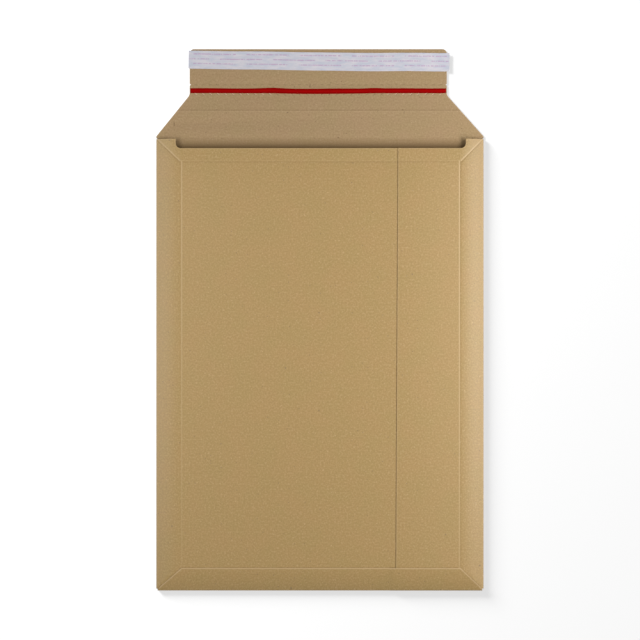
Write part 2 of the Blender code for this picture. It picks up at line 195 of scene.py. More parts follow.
def near(point: Vector, x: float, y: float) -> bool:
    """Tell whether a point lies at a place of the flat sheet."""
    return math.hypot(point.x - x, point.y - y) < NEAR_DISTANCE


def everywhere(_point: Vector) -> bool:
    """Accept any point."""
    return True


def cut_line(start: Sequence[float], end: Sequence[float], test: Test = everywhere) -> None:
    """Cut faces along the line through two points of the flat sheet.

    Args:
        start: First point of the line.
        end: Second point of the line.
        test: Tells by its middle whether a face is cut.
    """
    pick_faces(test)
    run_x, run_y = end[0] - start[0], end[1] - start[1]
    bpy.ops.mesh.bisect(plane_co=(start[0], start[1], 0.0), plane_no=(run_y, -run_x, 0.0),
                        use_fill=False, threshold=MERGE_DISTANCE)


def trim_line(start: Sequence[float], end: Sequence[float], test: Test = everywhere) -> None:
    """Cut faces along a line and remove what lies to its right, seen along it.

    Args:
        start: First point of the line.
        end: Second point of the line.
        test: Tells by its middle whether a face is trimmed.
    """
    cut_line(start, end, test)
    run_x, run_y = end[0] - start[0], end[1] - start[1]

    def is_waste(middle: Vector) -> bool:
        """Tell whether a face lies to the right of the line."""
        right = (middle.x - start[0]) * run_y - (middle.y - start[1]) * run_x
        return test(middle) and right > 0.0

    remove_faces(is_waste)


def cut_across(places: Sequence[float], test: Test = everywhere) -> None:
    """Cut the sheet along lines parallel to Y.

    Args:
        places: Where the lines cross the X axis.
        test: Tells by its middle whether a face is cut.
    """
    for place in places:
        cut_line((place, 0.0), (place, 1.0), test)


def cut_along(places: Sequence[float], test: Test = everywhere) -> None:
    """Cut the sheet along lines parallel to X.

    Args:
        places: Where the lines cross the Y axis.
        test: Tells by its middle whether a face is cut.
    """
    for place in places:
        cut_line((0.0, place), (1.0, place), test)


def remove_faces(test: Test) -> None:
    """Cut away the faces whose middle passes a test."""
    pick_faces(test)
    bpy.ops.mesh.delete(type="FACE")


def weld_faces(test: Test) -> None:
    """Turn the faces whose middle passes a test into one face."""
    pick_faces(test)
    bpy.ops.mesh.dissolve_faces()


def round_off(x: float, y: float, radius: float) -> None:
    """Round one corner of the flat sheet.

    Args:
        x: Place of the corner across the sheet.
        y: Place of the corner along the sheet.
        radius: Radius of the round.
    """
    pick_points(lambda point: near(point, x, y))
    bpy.ops.mesh.bevel(affect="VERTICES", offset_type="OFFSET", offset=radius,
                       segments=CORNER_STEPS, profile=0.5, clamp_overlap=False)


def border() -> None:
    """Run the two narrow bands round the sheet's cut edges."""
    for width in (EDGE_BAND, EDGE_RIM):
        pick_faces(everywhere)
        bpy.ops.mesh.inset(thickness=width, depth=0.0, use_boundary=True, use_even_offset=True)


def steps_between(low: float, high: float, count: int) -> list[float]:
    """Evenly spaced places from low to high, both included."""
    return [low + (high - low) * step / count for step in range(count + 1)]


def new_sheet(name: str, low: Sequence[float], high: Sequence[float]) -> bpy.types.Object:
    """Add a flat sheet as a plane.

    Args:
        name: Name of the piece.
        low: Lowest corner, across and along.
        high: Highest corner, across and along.

    Returns:
        The new piece, in object mode, with its place in its mesh.
    """
    bpy.ops.mesh.primitive_plane_add(size=1.0, location=(0.0, 0.0, 0.0))
    piece = bpy.context.object
    piece.name = name
    piece.data.name = name
    with on_the_bench(piece):
        bpy.ops.mesh.select_all(action="SELECT")
        bpy.ops.transform.resize(value=(high[0] - low[0], high[1] - low[1], 1.0))
        bpy.ops.transform.translate(value=((low[0] + high[0]) / 2, (low[1] + high[1]) / 2, 0.0))
    return piece


def new_strip(name: str, half: Sequence[float], columns: int, rows: int) -> bpy.types.Object:
    """Add a flat strip about the origin, cut into a grid that can bend.

    Args:
        name: Name of the piece.
        half: Half its length and half its width.
        columns: Number of cells along it.
        rows: Number of cells across it.

    Returns:
        The new strip, with its map.
    """
    strip = new_sheet(name, (-half[0], -half[1]), (half[0], half[1]))
    with on_the_bench(strip):
        cut_across(steps_between(-half[0], half[0], columns)[1:-1])
        cut_along(steps_between(-half[1], half[1], rows)[1:-1])
    map_sheet(strip)
    return strip


def map_sheet(piece: bpy.types.Object) -> None:
    """Store the flat sheet's coordinates as the piece's only UV map.

    Args:
        piece: The flat sheet.
    """
    mesh = piece.data
    while mesh.uv_layers:
        mesh.uv_layers.remove(mesh.uv_layers[0])
    layer = mesh.uv_layers.new(name=SHEET_MAP)
    for loop in mesh.loops:
        layer.data[loop.index].uv = mesh.vertices[loop.vertex_index].co.xy


def mark_tone(piece: bpy.types.Object, edge_tone: ToneAt, tone_at: ToneAt) -> None:
    """Store how far each point of a flat sheet is rubbed pale or pressed dark, and where highlight
    and shade are painted on it.

    Args:
        piece: The flat sheet.
        edge_tone: Tone of the cut edge and its rim at a place of the sheet.
        tone_at: Tone of the board itself at a place of the sheet.
    """
    sheet = bmesh.new()
    sheet.from_mesh(piece.data)
    layer = sheet.verts.layers.float.new(TONE)
    for point in sheet.verts:
        point[layer] = tone_at(point.co.x, point.co.y)
        neighbours = (edge.other_vert(point) for edge in point.link_edges)
        if point.is_boundary or any(neighbour.is_boundary for neighbour in neighbours):
            point[layer] += edge_tone(point.co.x, point.co.y)
    sheet.to_mesh(piece.data)
    sheet.free()


def shape_sheet(piece: bpy.types.Object, place: PlaceAt) -> None:
    """Move each point of a flat sheet to its place on the finished piece.

    Args:
        piece: The flat sheet.
        place: Where a point of the sheet goes.
    """
    for point in piece.data.vertices:
        point.co = place(point.co.x, point.co.y)
    piece.data.update()


def apply_modifiers(piece: bpy.types.Object) -> None:
    """Apply a piece's modifiers, first to last.

    Args:
        piece: The piece.
    """
    take_up(piece)
    for modifier in list(piece.modifiers):
        bpy.ops.object.modifier_apply(modifier=modifier.name)


def thicken(piece: bpy.types.Object, thickness: float) -> None:
    """Give a sheet its thickness, half to each side.

    The new skin and the rim take the next two materials of the piece.

    Args:
        piece: The sheet, in its final shape.
        thickness: Thickness of the finished wall.
    """
    wall = piece.modifiers.new("wall", "SOLIDIFY")
    wall.thickness = thickness
    wall.offset = 0.0
    wall.use_even_offset = True
    wall.material_offset = BoardFace.OUTSIDE
    wall.material_offset_rim = BoardFace.CUT_EDGE
    apply_modifiers(piece)


def soften_edges(piece: bpy.types.Object, kept: Test) -> None:
    """Round the sharp edges of a solid piece of board a little.

    Args:
        piece: The solid piece.
        kept: Tells whether a point is on an edge that stays sharp.
    """
    with on_the_bench(piece):
        bpy.ops.mesh.select_mode(type="EDGE")
        bpy.ops.mesh.select_all(action="DESELECT")
        bpy.ops.mesh.edges_select_sharp(sharpness=ROUNDED_ANGLE)
        for edge in edited_mesh().edges:
            if edge.select and all(kept(point.co) for point in edge.verts):
                edge.select_set(False)
        bmesh.update_edit_mesh(bpy.context.edit_object.data)
        bpy.ops.mesh.bevel(affect="EDGES", offset=EDGE_ROUNDING, segments=2, profile=0.5,
                           clamp_overlap=True, material=BoardFace.CUT_EDGE)


def turn_in_place(piece: bpy.types.Object, angle: float, centre: Vector) -> None:
    """Turn a piece about Z and move it, in its mesh.

    Args:
        piece: A piece modelled at the origin.
        angle: Turn from above, against the clock.
        centre: Where the piece's origin goes.
    """
    piece.rotation_euler.z = angle
    piece.location = centre
    take_up(piece)
    bpy.ops.object.transform_apply(location=True, rotation=True, scale=True)


def join_pieces(name: str, pieces: Sequence[bpy.types.Object]) -> bpy.types.Object:
    """Join several pieces into one object.

    Args:
        name: Name of the joined piece.
        pieces: The pieces, each with its place in its mesh.

    Returns:
        The joined piece.
    """
    take_up(*pieces)
    bpy.ops.object.join()
    joined = bpy.context.object
    joined.name = name
    joined.data.name = name
    return joined


def dress(piece: bpy.types.Object, materials: Sequence[bpy.types.Material]) -> None:
    """Give a piece its materials, one for each slot.

    Args:
        piece: The piece.
        materials: Its materials, in the order of its slots.
    """
    piece.data.materials.clear()
    for material in materials:
        piece.data.materials.append(material)


def shade_smoothly(piece: bpy.types.Object) -> None:
    """Shade a piece smooth, apart from its sharp edges."""
    take_up(piece)
    bpy.ops.object.shade_smooth_by_angle(angle=SMOOTH_ANGLE)


def report(piece: bpy.types.Object) -> None:
    """Log a finished piece with the size of its mesh."""
    LOG.info("%s: %d faces", piece.name, len(piece.data.polygons))


# Finishes


class Recipe:
    """Node tree of one material, put together step by step."""

    SPREAD = (0.3, 0.7)             # range that holds nearly all of a cloudy pattern
    COLOUR_INPUTS = (6, 7)          # sockets of a mixing node that mixes colours
    COLOUR_OUTPUT = 2

    def __init__(self, name: str) -> None:
        """Start from a plain shader of that name.

        Args:
            name: Name of the material.
        """
        self.material = bpy.data.materials.new(name)
        self.material.use_nodes = True
        self.tree = self.material.node_tree
        self.shader = self.tree.nodes["Principled BSDF"]

    def node(self, kind: str, **settings: object) -> bpy.types.Node:
        """Add a node and set its options.

        Args:
            kind: Blender's name of the node's type.
            **settings: The node's properties.

        Returns:
            The new node.
        """
        made = self.tree.nodes.new(kind)
        for name, value in settings.items():
            setattr(made, name, value)
        return made

    def link(self, source: Socket, target: Socket) -> None:
        """Feed one socket from another."""
        self.tree.links.new(source, target)

    def feed(self, target: Socket, value: object) -> None:
        """Feed a socket from another one, or set it to a plain value.

        Args:
            target: Socket to feed.
            value: A socket, a number or a colour.
        """
        if isinstance(value, bpy.types.NodeSocket):
            self.link(value, target)
        elif isinstance(value, tuple) and len(value) == 3 and len(target.default_value) == 4:
            target.default_value = (*value, 1.0)
        else:
            target.default_value = value

    def sheet_place(self, stretch: Sequence[float] = EVEN) -> Socket:
        """Coordinates on the flat sheet, stretched by a factor along each axis."""
        source = self.node("ShaderNodeUVMap", uv_map=SHEET_MAP)
        return self.stretched(source.outputs["UV"], stretch)

    def object_place(self, stretch: Sequence[float] = EVEN) -> Socket:
        """Coordinates in the object's frame, stretched by a factor along each axis."""
        source = self.node("ShaderNodeTexCoord")
        return self.stretched(source.outputs["Object"], stretch)

    def stretched(self, place: Socket, stretch: Sequence[float]) -> Socket:
        """Scale a set of coordinates.

        Args:
            place: Coordinates to read.
            stretch: Factor along each axis.

        Returns:
            The scaled coordinates.
        """
        mapping = self.node("ShaderNodeMapping")
        mapping.inputs["Scale"].default_value = stretch
        self.link(place, mapping.inputs["Vector"])
        return mapping.outputs["Vector"]

    def noise(self, place: Socket, scale: float, detail: float, rough: float = 0.5) -> Socket:
        """Cloudy pattern from 0 to 1.

        Args:
            place: Coordinates to read.
            scale: Size of the pattern, as clouds to a metre.
            detail: Number of finer layers.
            rough: Strength of the finer layers.

        Returns:
            The pattern's value.
        """
        made = self.node("ShaderNodeTexNoise")
        made.inputs["Scale"].default_value = scale
        made.inputs["Detail"].default_value = detail
        made.inputs["Roughness"].default_value = rough
        self.link(place, made.inputs["Vector"])
        return made.outputs["Fac"]

    def specks(self, place: Socket, cells: float, radius: float, share: float) -> Socket:
        """Scattered specks, 1 inside a speck and 0 outside.

        Args:
            place: Coordinates to read.
            cells: Cells to a metre, with one speck in each at most.
            radius: Radius of a speck, as a share of its cell.
            share: Share of the cells that hold a speck.

        Returns:
            The mask of the specks.
        """
        pattern = self.node("ShaderNodeTexVoronoi")
        pattern.inputs["Scale"].default_value = cells
        self.link(place, pattern.inputs["Vector"])
        inside = self.ramp(pattern.outputs["Distance"], radius, radius / 2)
        channel = self.node("ShaderNodeSeparateColor")
        self.link(pattern.outputs["Color"], channel.inputs["Color"])
        chosen = self.maths("LESS_THAN", channel.outputs["Red"], share)
        return self.maths("MULTIPLY", inside, chosen)

    def ramp(self, value: Socket, low: float, high: float, start: float = 0.0,
             end: float = 1.0) -> Socket:
        """Carry values over from one range to another and hold them there.

        Args:
            value: Value to read.
            low: Value that gives the start.
            high: Value that gives the end.
            start: Result at the low value.
            end: Result at the high value.

        Returns:
            The result.
        """
        made = self.node("ShaderNodeMapRange", clamp=True)
        self.link(value, made.inputs["Value"])
        made.inputs["From Min"].default_value = low
        made.inputs["From Max"].default_value = high
        made.inputs["To Min"].default_value = start
        made.inputs["To Max"].default_value = end
        return made.outputs["Result"]

    def maths(self, operation: str, first: object, second: object = 0.0) -> Socket:
        """Work out one value from two.

        Args:
            operation: Blender's name of the operation.
            first: First value or socket.
            second: Second value or socket.

        Returns:
            The result.
        """
        made = self.node("ShaderNodeMath", operation=operation)
        self.feed(made.inputs[0], first)
        self.feed(made.inputs[1], second)
        return made.outputs["Value"]

    def mix(self, share: Socket, first: object, second: object) -> Socket:
        """Mix two colours by a share of the second.

        Args:
            share: Share of the second colour, from 0 to 1.
            first: First colour or socket.
            second: Second colour or socket.

        Returns:
            The mixed colour.
        """
        made = self.node("ShaderNodeMix", data_type="RGBA")
        self.link(share, made.inputs["Factor"])
        for index, value in zip(self.COLOUR_INPUTS, (first, second)):
            self.feed(made.inputs[index], value)
        return made.outputs[self.COLOUR_OUTPUT]

    def tone(self) -> Socket:
        """Tone that the piece's points carry: rubbing and pressing, and painted highlight and
        shade.
        """
        made = self.node("ShaderNodeAttribute", attribute_name=TONE)
        return made.outputs["Fac"]

    def axes(self, place: Socket) -> bpy.types.bpy_prop_collection:
        """Split a set of coordinates into X, Y and Z.

        Args:
            place: Coordinates to read.

        Returns:
            The three sockets, by the names of their axes.
        """
        made = self.node("ShaderNodeSeparateXYZ")
        self.link(place, made.inputs["Vector"])
        return made.outputs

    def paint(self, colour: Socket) -> None:
        """Colour the surface."""
        self.link(colour, self.shader.inputs["Base Color"])

    def roughen(self, pattern: Socket, low: float, high: float) -> None:
        """Let the roughness run from low to high with a pattern."""
        self.link(self.ramp(pattern, *self.SPREAD, low, high), self.shader.inputs["Roughness"])

    def bump(self, height: Socket, depth: float, strength: float = 1.0) -> None:
        """Raise the surface by a pattern, by at most a depth.

        Args:
            height: Pattern from 0 to 1.
            depth: Height that a pattern of 1 stands for.
            strength: Share of the slope that is shown.
        """
        made = self.node("ShaderNodeBump")
        made.inputs["Strength"].default_value = strength
        made.inputs["Distance"].default_value = depth
        self.link(height, made.inputs["Height"])
        self.link(made.outputs["Normal"], self.shader.inputs["Normal"])

    def set(self, **values: object) -> None:
        """Set the shader's plain values, with underscores for the spaces in their names."""
        for name, value in values.items():
            self.feed(self.shader.inputs[name.replace("_", " ")], value)


@dataclass(frozen=True)
class KraftFinish:
    """Face of unbleached solid board, with cloudy pulp, fibres and specks.

    Specks are given as cells to a metre, radius in a cell and share of the cells. Where the
    mouth's shade is set, shade is painted on the board between those two places along the
    envelope, darker towards the mouth.
    """

    name: str
    warm: Colour
    cool: Colour
    # the pale and pressed shades also carry painted highlight and painted shade
    pale_and_highlight: Colour
    pressed_and_shade: Colour
    speck: Colour = (0.16, 0.10, 0.05)
    clouds: Noise = (38.0, 3.0, 0.5)
    cloud_spread: Pair = (0.36, 0.64)
    pulp: Noise = (560.0, 3.0, 0.62)
    pulp_pale: Ramp = (0.50, 0.72, 0.0, 0.42)
    pulp_pressed: Ramp = (0.50, 0.28, 0.0, 0.28)
    fibre: Noise = (1500.0, 2.0, 0.6)
    fibre_stretch: Triple = (1.0, 0.28, 1.0)
    fibre_pale: Ramp = (0.55, 0.75, 0.0, 0.40)
    fibre_relief: float = 0.6
    depth: float = 0.00005
    bits: Triple = (260.0, 0.20, 0.22)
    bit_strength: float = 0.50
    bark: tuple[Triple, ...] = ((60.0, 0.065, 0.40), (190.0, 0.13, 0.24))
    bark_strength: float = 0.60
    roughness: Pair = (0.48, 0.60)
    specular: float = 0.85
    painted_mouth_shade: Pair | None = None

    def make(self) -> bpy.types.Material:
        """Mix the finish.

        Returns:
            The material, which reads the sheet's map and tone.
        """
        recipe = Recipe(self.name)
        place = recipe.sheet_place()
        clouds = recipe.noise(place, *self.clouds)
        pulp = recipe.noise(place, *self.pulp)
        fibre = recipe.noise(recipe.sheet_place(self.fibre_stretch), *self.fibre)
        bits = recipe.maths("MULTIPLY", recipe.specks(place, *self.bits), self.bit_strength)
        tone = recipe.tone()
        layers = [(recipe.ramp(pulp, *self.pulp_pale), self.pale_and_highlight),
                  (recipe.ramp(pulp, *self.pulp_pressed), self.pressed_and_shade),
                  (recipe.ramp(fibre, *self.fibre_pale), self.pale_and_highlight),
                  (bits, self.pale_and_highlight),
                  (self.bark_mask(recipe, place), self.speck),
                  # the tone paints rubbing and pressing, and also painted highlight and painted
                  # shade
                  (recipe.ramp(tone, 0.0, 1.0), self.pale_and_highlight),
                  (recipe.ramp(tone, 0.0, -1.0), self.pressed_and_shade)]
        # painted shade on the inside, darker towards the mouth
        if self.painted_mouth_shade:
            layers.append((recipe.ramp(recipe.axes(place)["Y"], *self.painted_mouth_shade), self.pressed_and_shade))
        colour = recipe.mix(recipe.ramp(clouds, *self.cloud_spread), self.warm, self.cool)
        for share, shade in layers:
            colour = recipe.mix(share, colour, shade)
        recipe.paint(colour)
        recipe.roughen(pulp, *self.roughness)
        recipe.set(Specular_IOR_Level=self.specular)
        relief = recipe.maths("ADD", recipe.maths("MULTIPLY", fibre, self.fibre_relief), pulp)
        recipe.bump(relief, self.depth)
        return recipe.material

    def bark_mask(self, recipe: Recipe, place: Socket) -> Socket:
        """Dark bits of bark in the pulp, a few large ones and more small ones."""
        large, small = (recipe.specks(place, *bark) for bark in self.bark)
        return recipe.maths("MULTIPLY", recipe.maths("MAXIMUM", large, small), self.bark_strength)


@dataclass(frozen=True)
class CutEdgeFinish:
    """Raw cut edge of the board, where the plies show as fine lines."""

    name: str = "board_cut_edge"
    light: Colour = (0.55, 0.40, 0.23)
    dark: Colour = (0.30, 0.20, 0.10)
    plies: Noise = (9000.0, 1.0, 0.5)
    ply_stretch: Triple = (0.02, 0.02, 1.0)
    ply_share: Ramp = (0.35, 0.65, 0.2, 1.0)
    fuzz: Noise = (2600.0, 2.0, 0.5)
    roughness: Pair = (0.85, 0.97)
    specular: float = 0.2
    depth: float = 0.00004

    def make(self) -> bpy.types.Material:
        """Mix the finish.

        Returns:
            The material, which reads the object's frame.
        """
        recipe = Recipe(self.name)
        plies = recipe.noise(recipe.object_place(self.ply_stretch), *self.plies)
        fuzz = recipe.noise(recipe.object_place(), *self.fuzz)
        share = recipe.maths("MULTIPLY", recipe.ramp(plies, *self.ply_share), fuzz)
        recipe.paint(recipe.mix(share, self.light, self.dark))
        recipe.roughen(fuzz, *self.roughness)
        recipe.set(Specular_IOR_Level=self.specular)
        recipe.bump(fuzz, self.depth)
        return recipe.material


@dataclass(frozen=True)
class CloudyFinish:
    """Two shades that run into each other in clouds, as in torn fibres or set glue."""

    name: str
    light: Colour
    dark: Colour
    clouds: Noise
    spread: Pair
    roughness: Pair
    depth: float

    def make(self) -> bpy.types.Material:
        """Mix the finish.

        Returns:
            The material, which reads the object's frame.
        """
        recipe = Recipe(self.name)
        clouds = recipe.noise(recipe.object_place(), *self.clouds)
        recipe.paint(recipe.mix(recipe.ramp(clouds, *self.spread), self.light, self.dark))
        recipe.roughen(clouds, *self.roughness)
        recipe.bump(clouds, self.depth)
        return recipe.material


@dataclass(frozen=True)
class TearTapeFinish:
    """Glossy red film, lighter along its middle than at its edges, with fine lines along it."""

    name: str = "red_tape"
    edge: Colour = (0.27, 0.0012, 0.0010)
    middle: Colour = (0.44, 0.0024, 0.0022)
    streak: Pair = (0.0015, 0.0003)
    drawn: Noise = (2600.0, 2.0, 0.5)
    drawn_stretch: Triple = (0.03, 1.0, 1.0)
    drawn_share: Ramp = (0.5, 0.8, 0.0, 0.25)
    uneven: Noise = (45.0, 2.0, 0.5)
    uneven_stretch: Triple = (1.0, 0.4, 1.0)
    uneven_share: Ramp = (0.3, 0.7, 0.45, 1.0)
    roughness: Pair = (0.26, 0.40)
    specular: float = 0.03
    depth: float = 0.00002

    def make(self) -> bpy.types.Material:
        """Mix the finish.

        Returns:
            The material, which reads the tape's map: metres along and across it.
        """
        recipe = Recipe(self.name)
        across = recipe.maths("ABSOLUTE", recipe.axes(recipe.sheet_place())["Y"])
        drawn = recipe.noise(recipe.sheet_place(self.drawn_stretch), *self.drawn)
        uneven = recipe.noise(recipe.sheet_place(self.uneven_stretch), *self.uneven)
        share = recipe.maths("MULTIPLY", recipe.ramp(across, *self.streak),
                             recipe.ramp(uneven, *self.uneven_share))
        share = recipe.maths("ADD", share, recipe.ramp(drawn, *self.drawn_share))
        recipe.paint(recipe.mix(share, self.edge, self.middle))
        recipe.roughen(drawn, *self.roughness)
        recipe.set(Specular_IOR_Level=self.specular)
        recipe.bump(drawn, self.depth)
        return recipe.material


@dataclass(frozen=True)
class LinerFinish:
    """Siliconed release paper, white with a lilac cast and rows of faint plain dashes."""

    name: str = "release_paper"
    paper: Colour = (0.74, 0.71, 0.76)
    cast: Colour = (0.60, 0.62, 0.71)
    ink: Colour = (0.52, 0.27, 0.50)
    ink_strength: float = 0.66
    streaks: Noise = (150.0, 4.0, 0.6)
    streak_stretch: Triple = (0.45, 1.6, 1.0)
    cast_spread: Pair = (0.38, 0.62)
    fibre: Noise = (1800.0, 3.0, 0.5)
    fibre_stretch: Triple = (0.5, 1.0, 1.0)
    fibre_relief: float = 0.08
    creases: Noise = (55.0, 2.0, 0.5)
    crease_depth: float = 0.0008
    crease_strength: float = 0.5
    roughness: Pair = (0.34, 0.48)
    specular: float = 0.5
    sheen: float = 0.05
    rows: Triple = (-0.0038, 0.0010, 0.0060)
    row_height: float = 0.0013
    run_pitch: float = 0.0533
    run_start: float = 0.0201
    run_share: float = 0.80
    dashes: Noise = (850.0, 1.0, 0.5)
    dash_spread: Pair = (0.42, 0.46)
    long_stretch: Triple = (1.0, 0.25, 1.0)

    def make(self) -> bpy.types.Material:
        """Mix the finish.

        Returns:
            The material, which reads the liner's map: metres along and across it.
        """
        recipe = Recipe(self.name)
        streaks = recipe.noise(recipe.sheet_place(self.streak_stretch), *self.streaks)
        colour = recipe.mix(recipe.ramp(streaks, *self.cast_spread), self.paper, self.cast)
        print_share = recipe.maths("MULTIPLY", self.print_rows(recipe), self.ink_strength)
        recipe.paint(recipe.mix(print_share, colour, self.ink))
        fibre = recipe.noise(recipe.sheet_place(self.fibre_stretch), *self.fibre)
        recipe.roughen(fibre, *self.roughness)
        recipe.set(Specular_IOR_Level=self.specular, Sheen_Weight=self.sheen)
        creases = recipe.noise(recipe.sheet_place(self.long_stretch), *self.creases)
        relief = recipe.maths("ADD", recipe.maths("MULTIPLY", fibre, self.fibre_relief), creases)
        recipe.bump(relief, self.crease_depth, self.crease_strength)
        return recipe.material

    def print_rows(self, recipe: Recipe) -> Socket:
        """Draw the uneven dashes, in broken runs that are staggered from row to row.

        Args:
            recipe: Recipe of the liner's material.

        Returns:
            The mask of the dashes.
        """
        axes = recipe.axes(recipe.sheet_place())
        dashes = recipe.noise(recipe.sheet_place(self.long_stretch), *self.dashes)
        dash = recipe.ramp(dashes, *self.dash_spread)
        half = self.row_height / 2
        mask = 0.0
        for index, row in enumerate(self.rows):
            offset = recipe.maths("SUBTRACT", axes["Y"], row)
            band = recipe.ramp(recipe.maths("ABSOLUTE", offset), half, half / 2)
            start = self.run_start + 0.5 * self.run_pitch * (index % 2)
            shifted = recipe.maths("ADD", axes["X"], start)
            run = recipe.maths("FRACT", recipe.maths("DIVIDE", shifted, self.run_pitch))
            marks = recipe.maths("MULTIPLY", recipe.maths("LESS_THAN", run, self.run_share), dash)
            mask = recipe.maths("MAXIMUM", mask, recipe.maths("MULTIPLY", band, marks))
        return mask


@dataclass(frozen=True)
class BoardFinishes:
    """The three finishes that every piece of the board is dressed in."""

    inside: bpy.types.Material
    outside: bpy.types.Material
    cut_edge: bpy.types.Material

    def slots(self) -> list[bpy.types.Material]:
        """Materials in the order of BoardFace."""
        return [self.inside, self.outside, self.cut_edge]


def mix_board_finishes() -> BoardFinishes:
    """Mix the board's finishes.

    Returns:
        Inside, outside and cut edge of the board.
    """
    outside = KraftFinish("kraft_outside", warm=(0.402, 0.246, 0.075), cool=(0.384, 0.246, 0.071),
                          pale_and_highlight=(0.60, 0.42, 0.21), pressed_and_shade=(0.20, 0.115, 0.030))
    # the inside takes painted shade, darker towards the mouth
    inside = KraftFinish("kraft_inside", warm=(0.438, 0.292, 0.154), cool=(0.424, 0.294, 0.147),
                         pale_and_highlight=(0.58, 0.42, 0.26), pressed_and_shade=(0.21, 0.13, 0.055),
                         roughness=(0.74, 0.86), specular=0.25, painted_mouth_shade=(0.1845, 0.1730))
    return BoardFinishes(inside.make(), outside.make(), CutEdgeFinish().make())


def unmarked(_u: float, _v: float) -> float:
    """Tone of board that nothing has rubbed or pressed."""
    return 0.0


def raise_board(blank: bpy.types.Object, finishes: BoardFinishes, edge_tone: ToneAt,
                tone_at: ToneAt, place: PlaceAt) -> None:
    """Turn a flat, scored blank into shaped board, with its finishes and its thickness.

    Args:
        blank: The flat blank.
        finishes: The board's finishes.
        edge_tone: Tone of the cut edge at a place of the blank.
        tone_at: Tone of the board itself at a place of the blank.
        place: Where each point of the blank goes.
    """
    map_sheet(blank)
    mark_tone(blank, edge_tone, tone_at)
    shape_sheet(blank, place)
    dress(blank, finishes.slots())
    thicken(blank, BOARD)


# Form of the folded board


@dataclass(frozen=True)
class Crease:
    """Crease pressed into the board, a groove on one face and a bead on the other.

    Its outer wall lies to the right of the run from start to end where its side is 1.
    """

    start: Vector
    end: Vector
    rise: float
    outer_side: int
    rubbed_and_highlight: float
    pressed_and_shade: float
    width: float = 0.00065
    fade: float = 0.0

    # Where the flat board is cut beside a crease's middle, and how far a crease runs on
    CUTS = (-0.0016, -0.0011, -0.0007, -0.0003, 0.0, 0.0003, 0.0007, 0.0011, 0.0016)
    RUN_OUT = 0.0012

    def strength(self, x: float, y: float) -> Pair:
        """Place a point against the crease.

        Args:
            x: Place of the point across the envelope.
            y: Place of the point along the envelope.

        Returns:
            Distance outwards from the crease's middle, and strength of the crease there.
        """
        run = self.end - self.start
        length = run.length
        run.normalize()
        offset = Vector((x, y)) - self.start
        along = offset.dot(run)
        across = (offset.x * run.y - offset.y * run.x) * self.outer_side
        overshoot = max(-along, along - length, 0.0)
        share = max(0.0, 1.0 - overshoot / self.RUN_OUT)
        return across, share * (1.0 - self.fade * min(max(along / length, 0.0), 1.0))

    def lift(self, x: float, y: float) -> float:
        """Height of the crease over the board at a point, below 0 in a groove."""
        across, share = self.strength(x, y)
        return share * self.rise * math.exp(-(across / self.width) ** 2)

    def tone(self, x: float, y: float) -> float:
        """Rubbed inner wall with a painted highlight, and pressed outer wall with painted shade,
        at a point.

        Args:
            x: Place of the point across the envelope.
            y: Place of the point along the envelope.

        Returns:
            Tone, above 0 where paler and below 0 where darker.
        """
        across, share = self.strength(x, y)
        inner = math.exp(-((across + self.width) / self.width) ** 2)
        outer = math.exp(-((across - self.width) / self.width) ** 2)
        return share * (self.rubbed_and_highlight * inner - self.pressed_and_shade * outer)


def soft_min(first: float, second: float, blend: float) -> float:
    """Smaller of two values, eased where they are less than a blend apart."""
    share = max(0.0, blend - abs(first - second)) / blend
    return min(first, second) - share * share * blend / 4


def smooth_step(value: float) -> float:
    """Ease from 0 to 1."""
    share = min(max(value, 0.0), 1.0)
    return share * share * (3.0 - 2.0 * share)


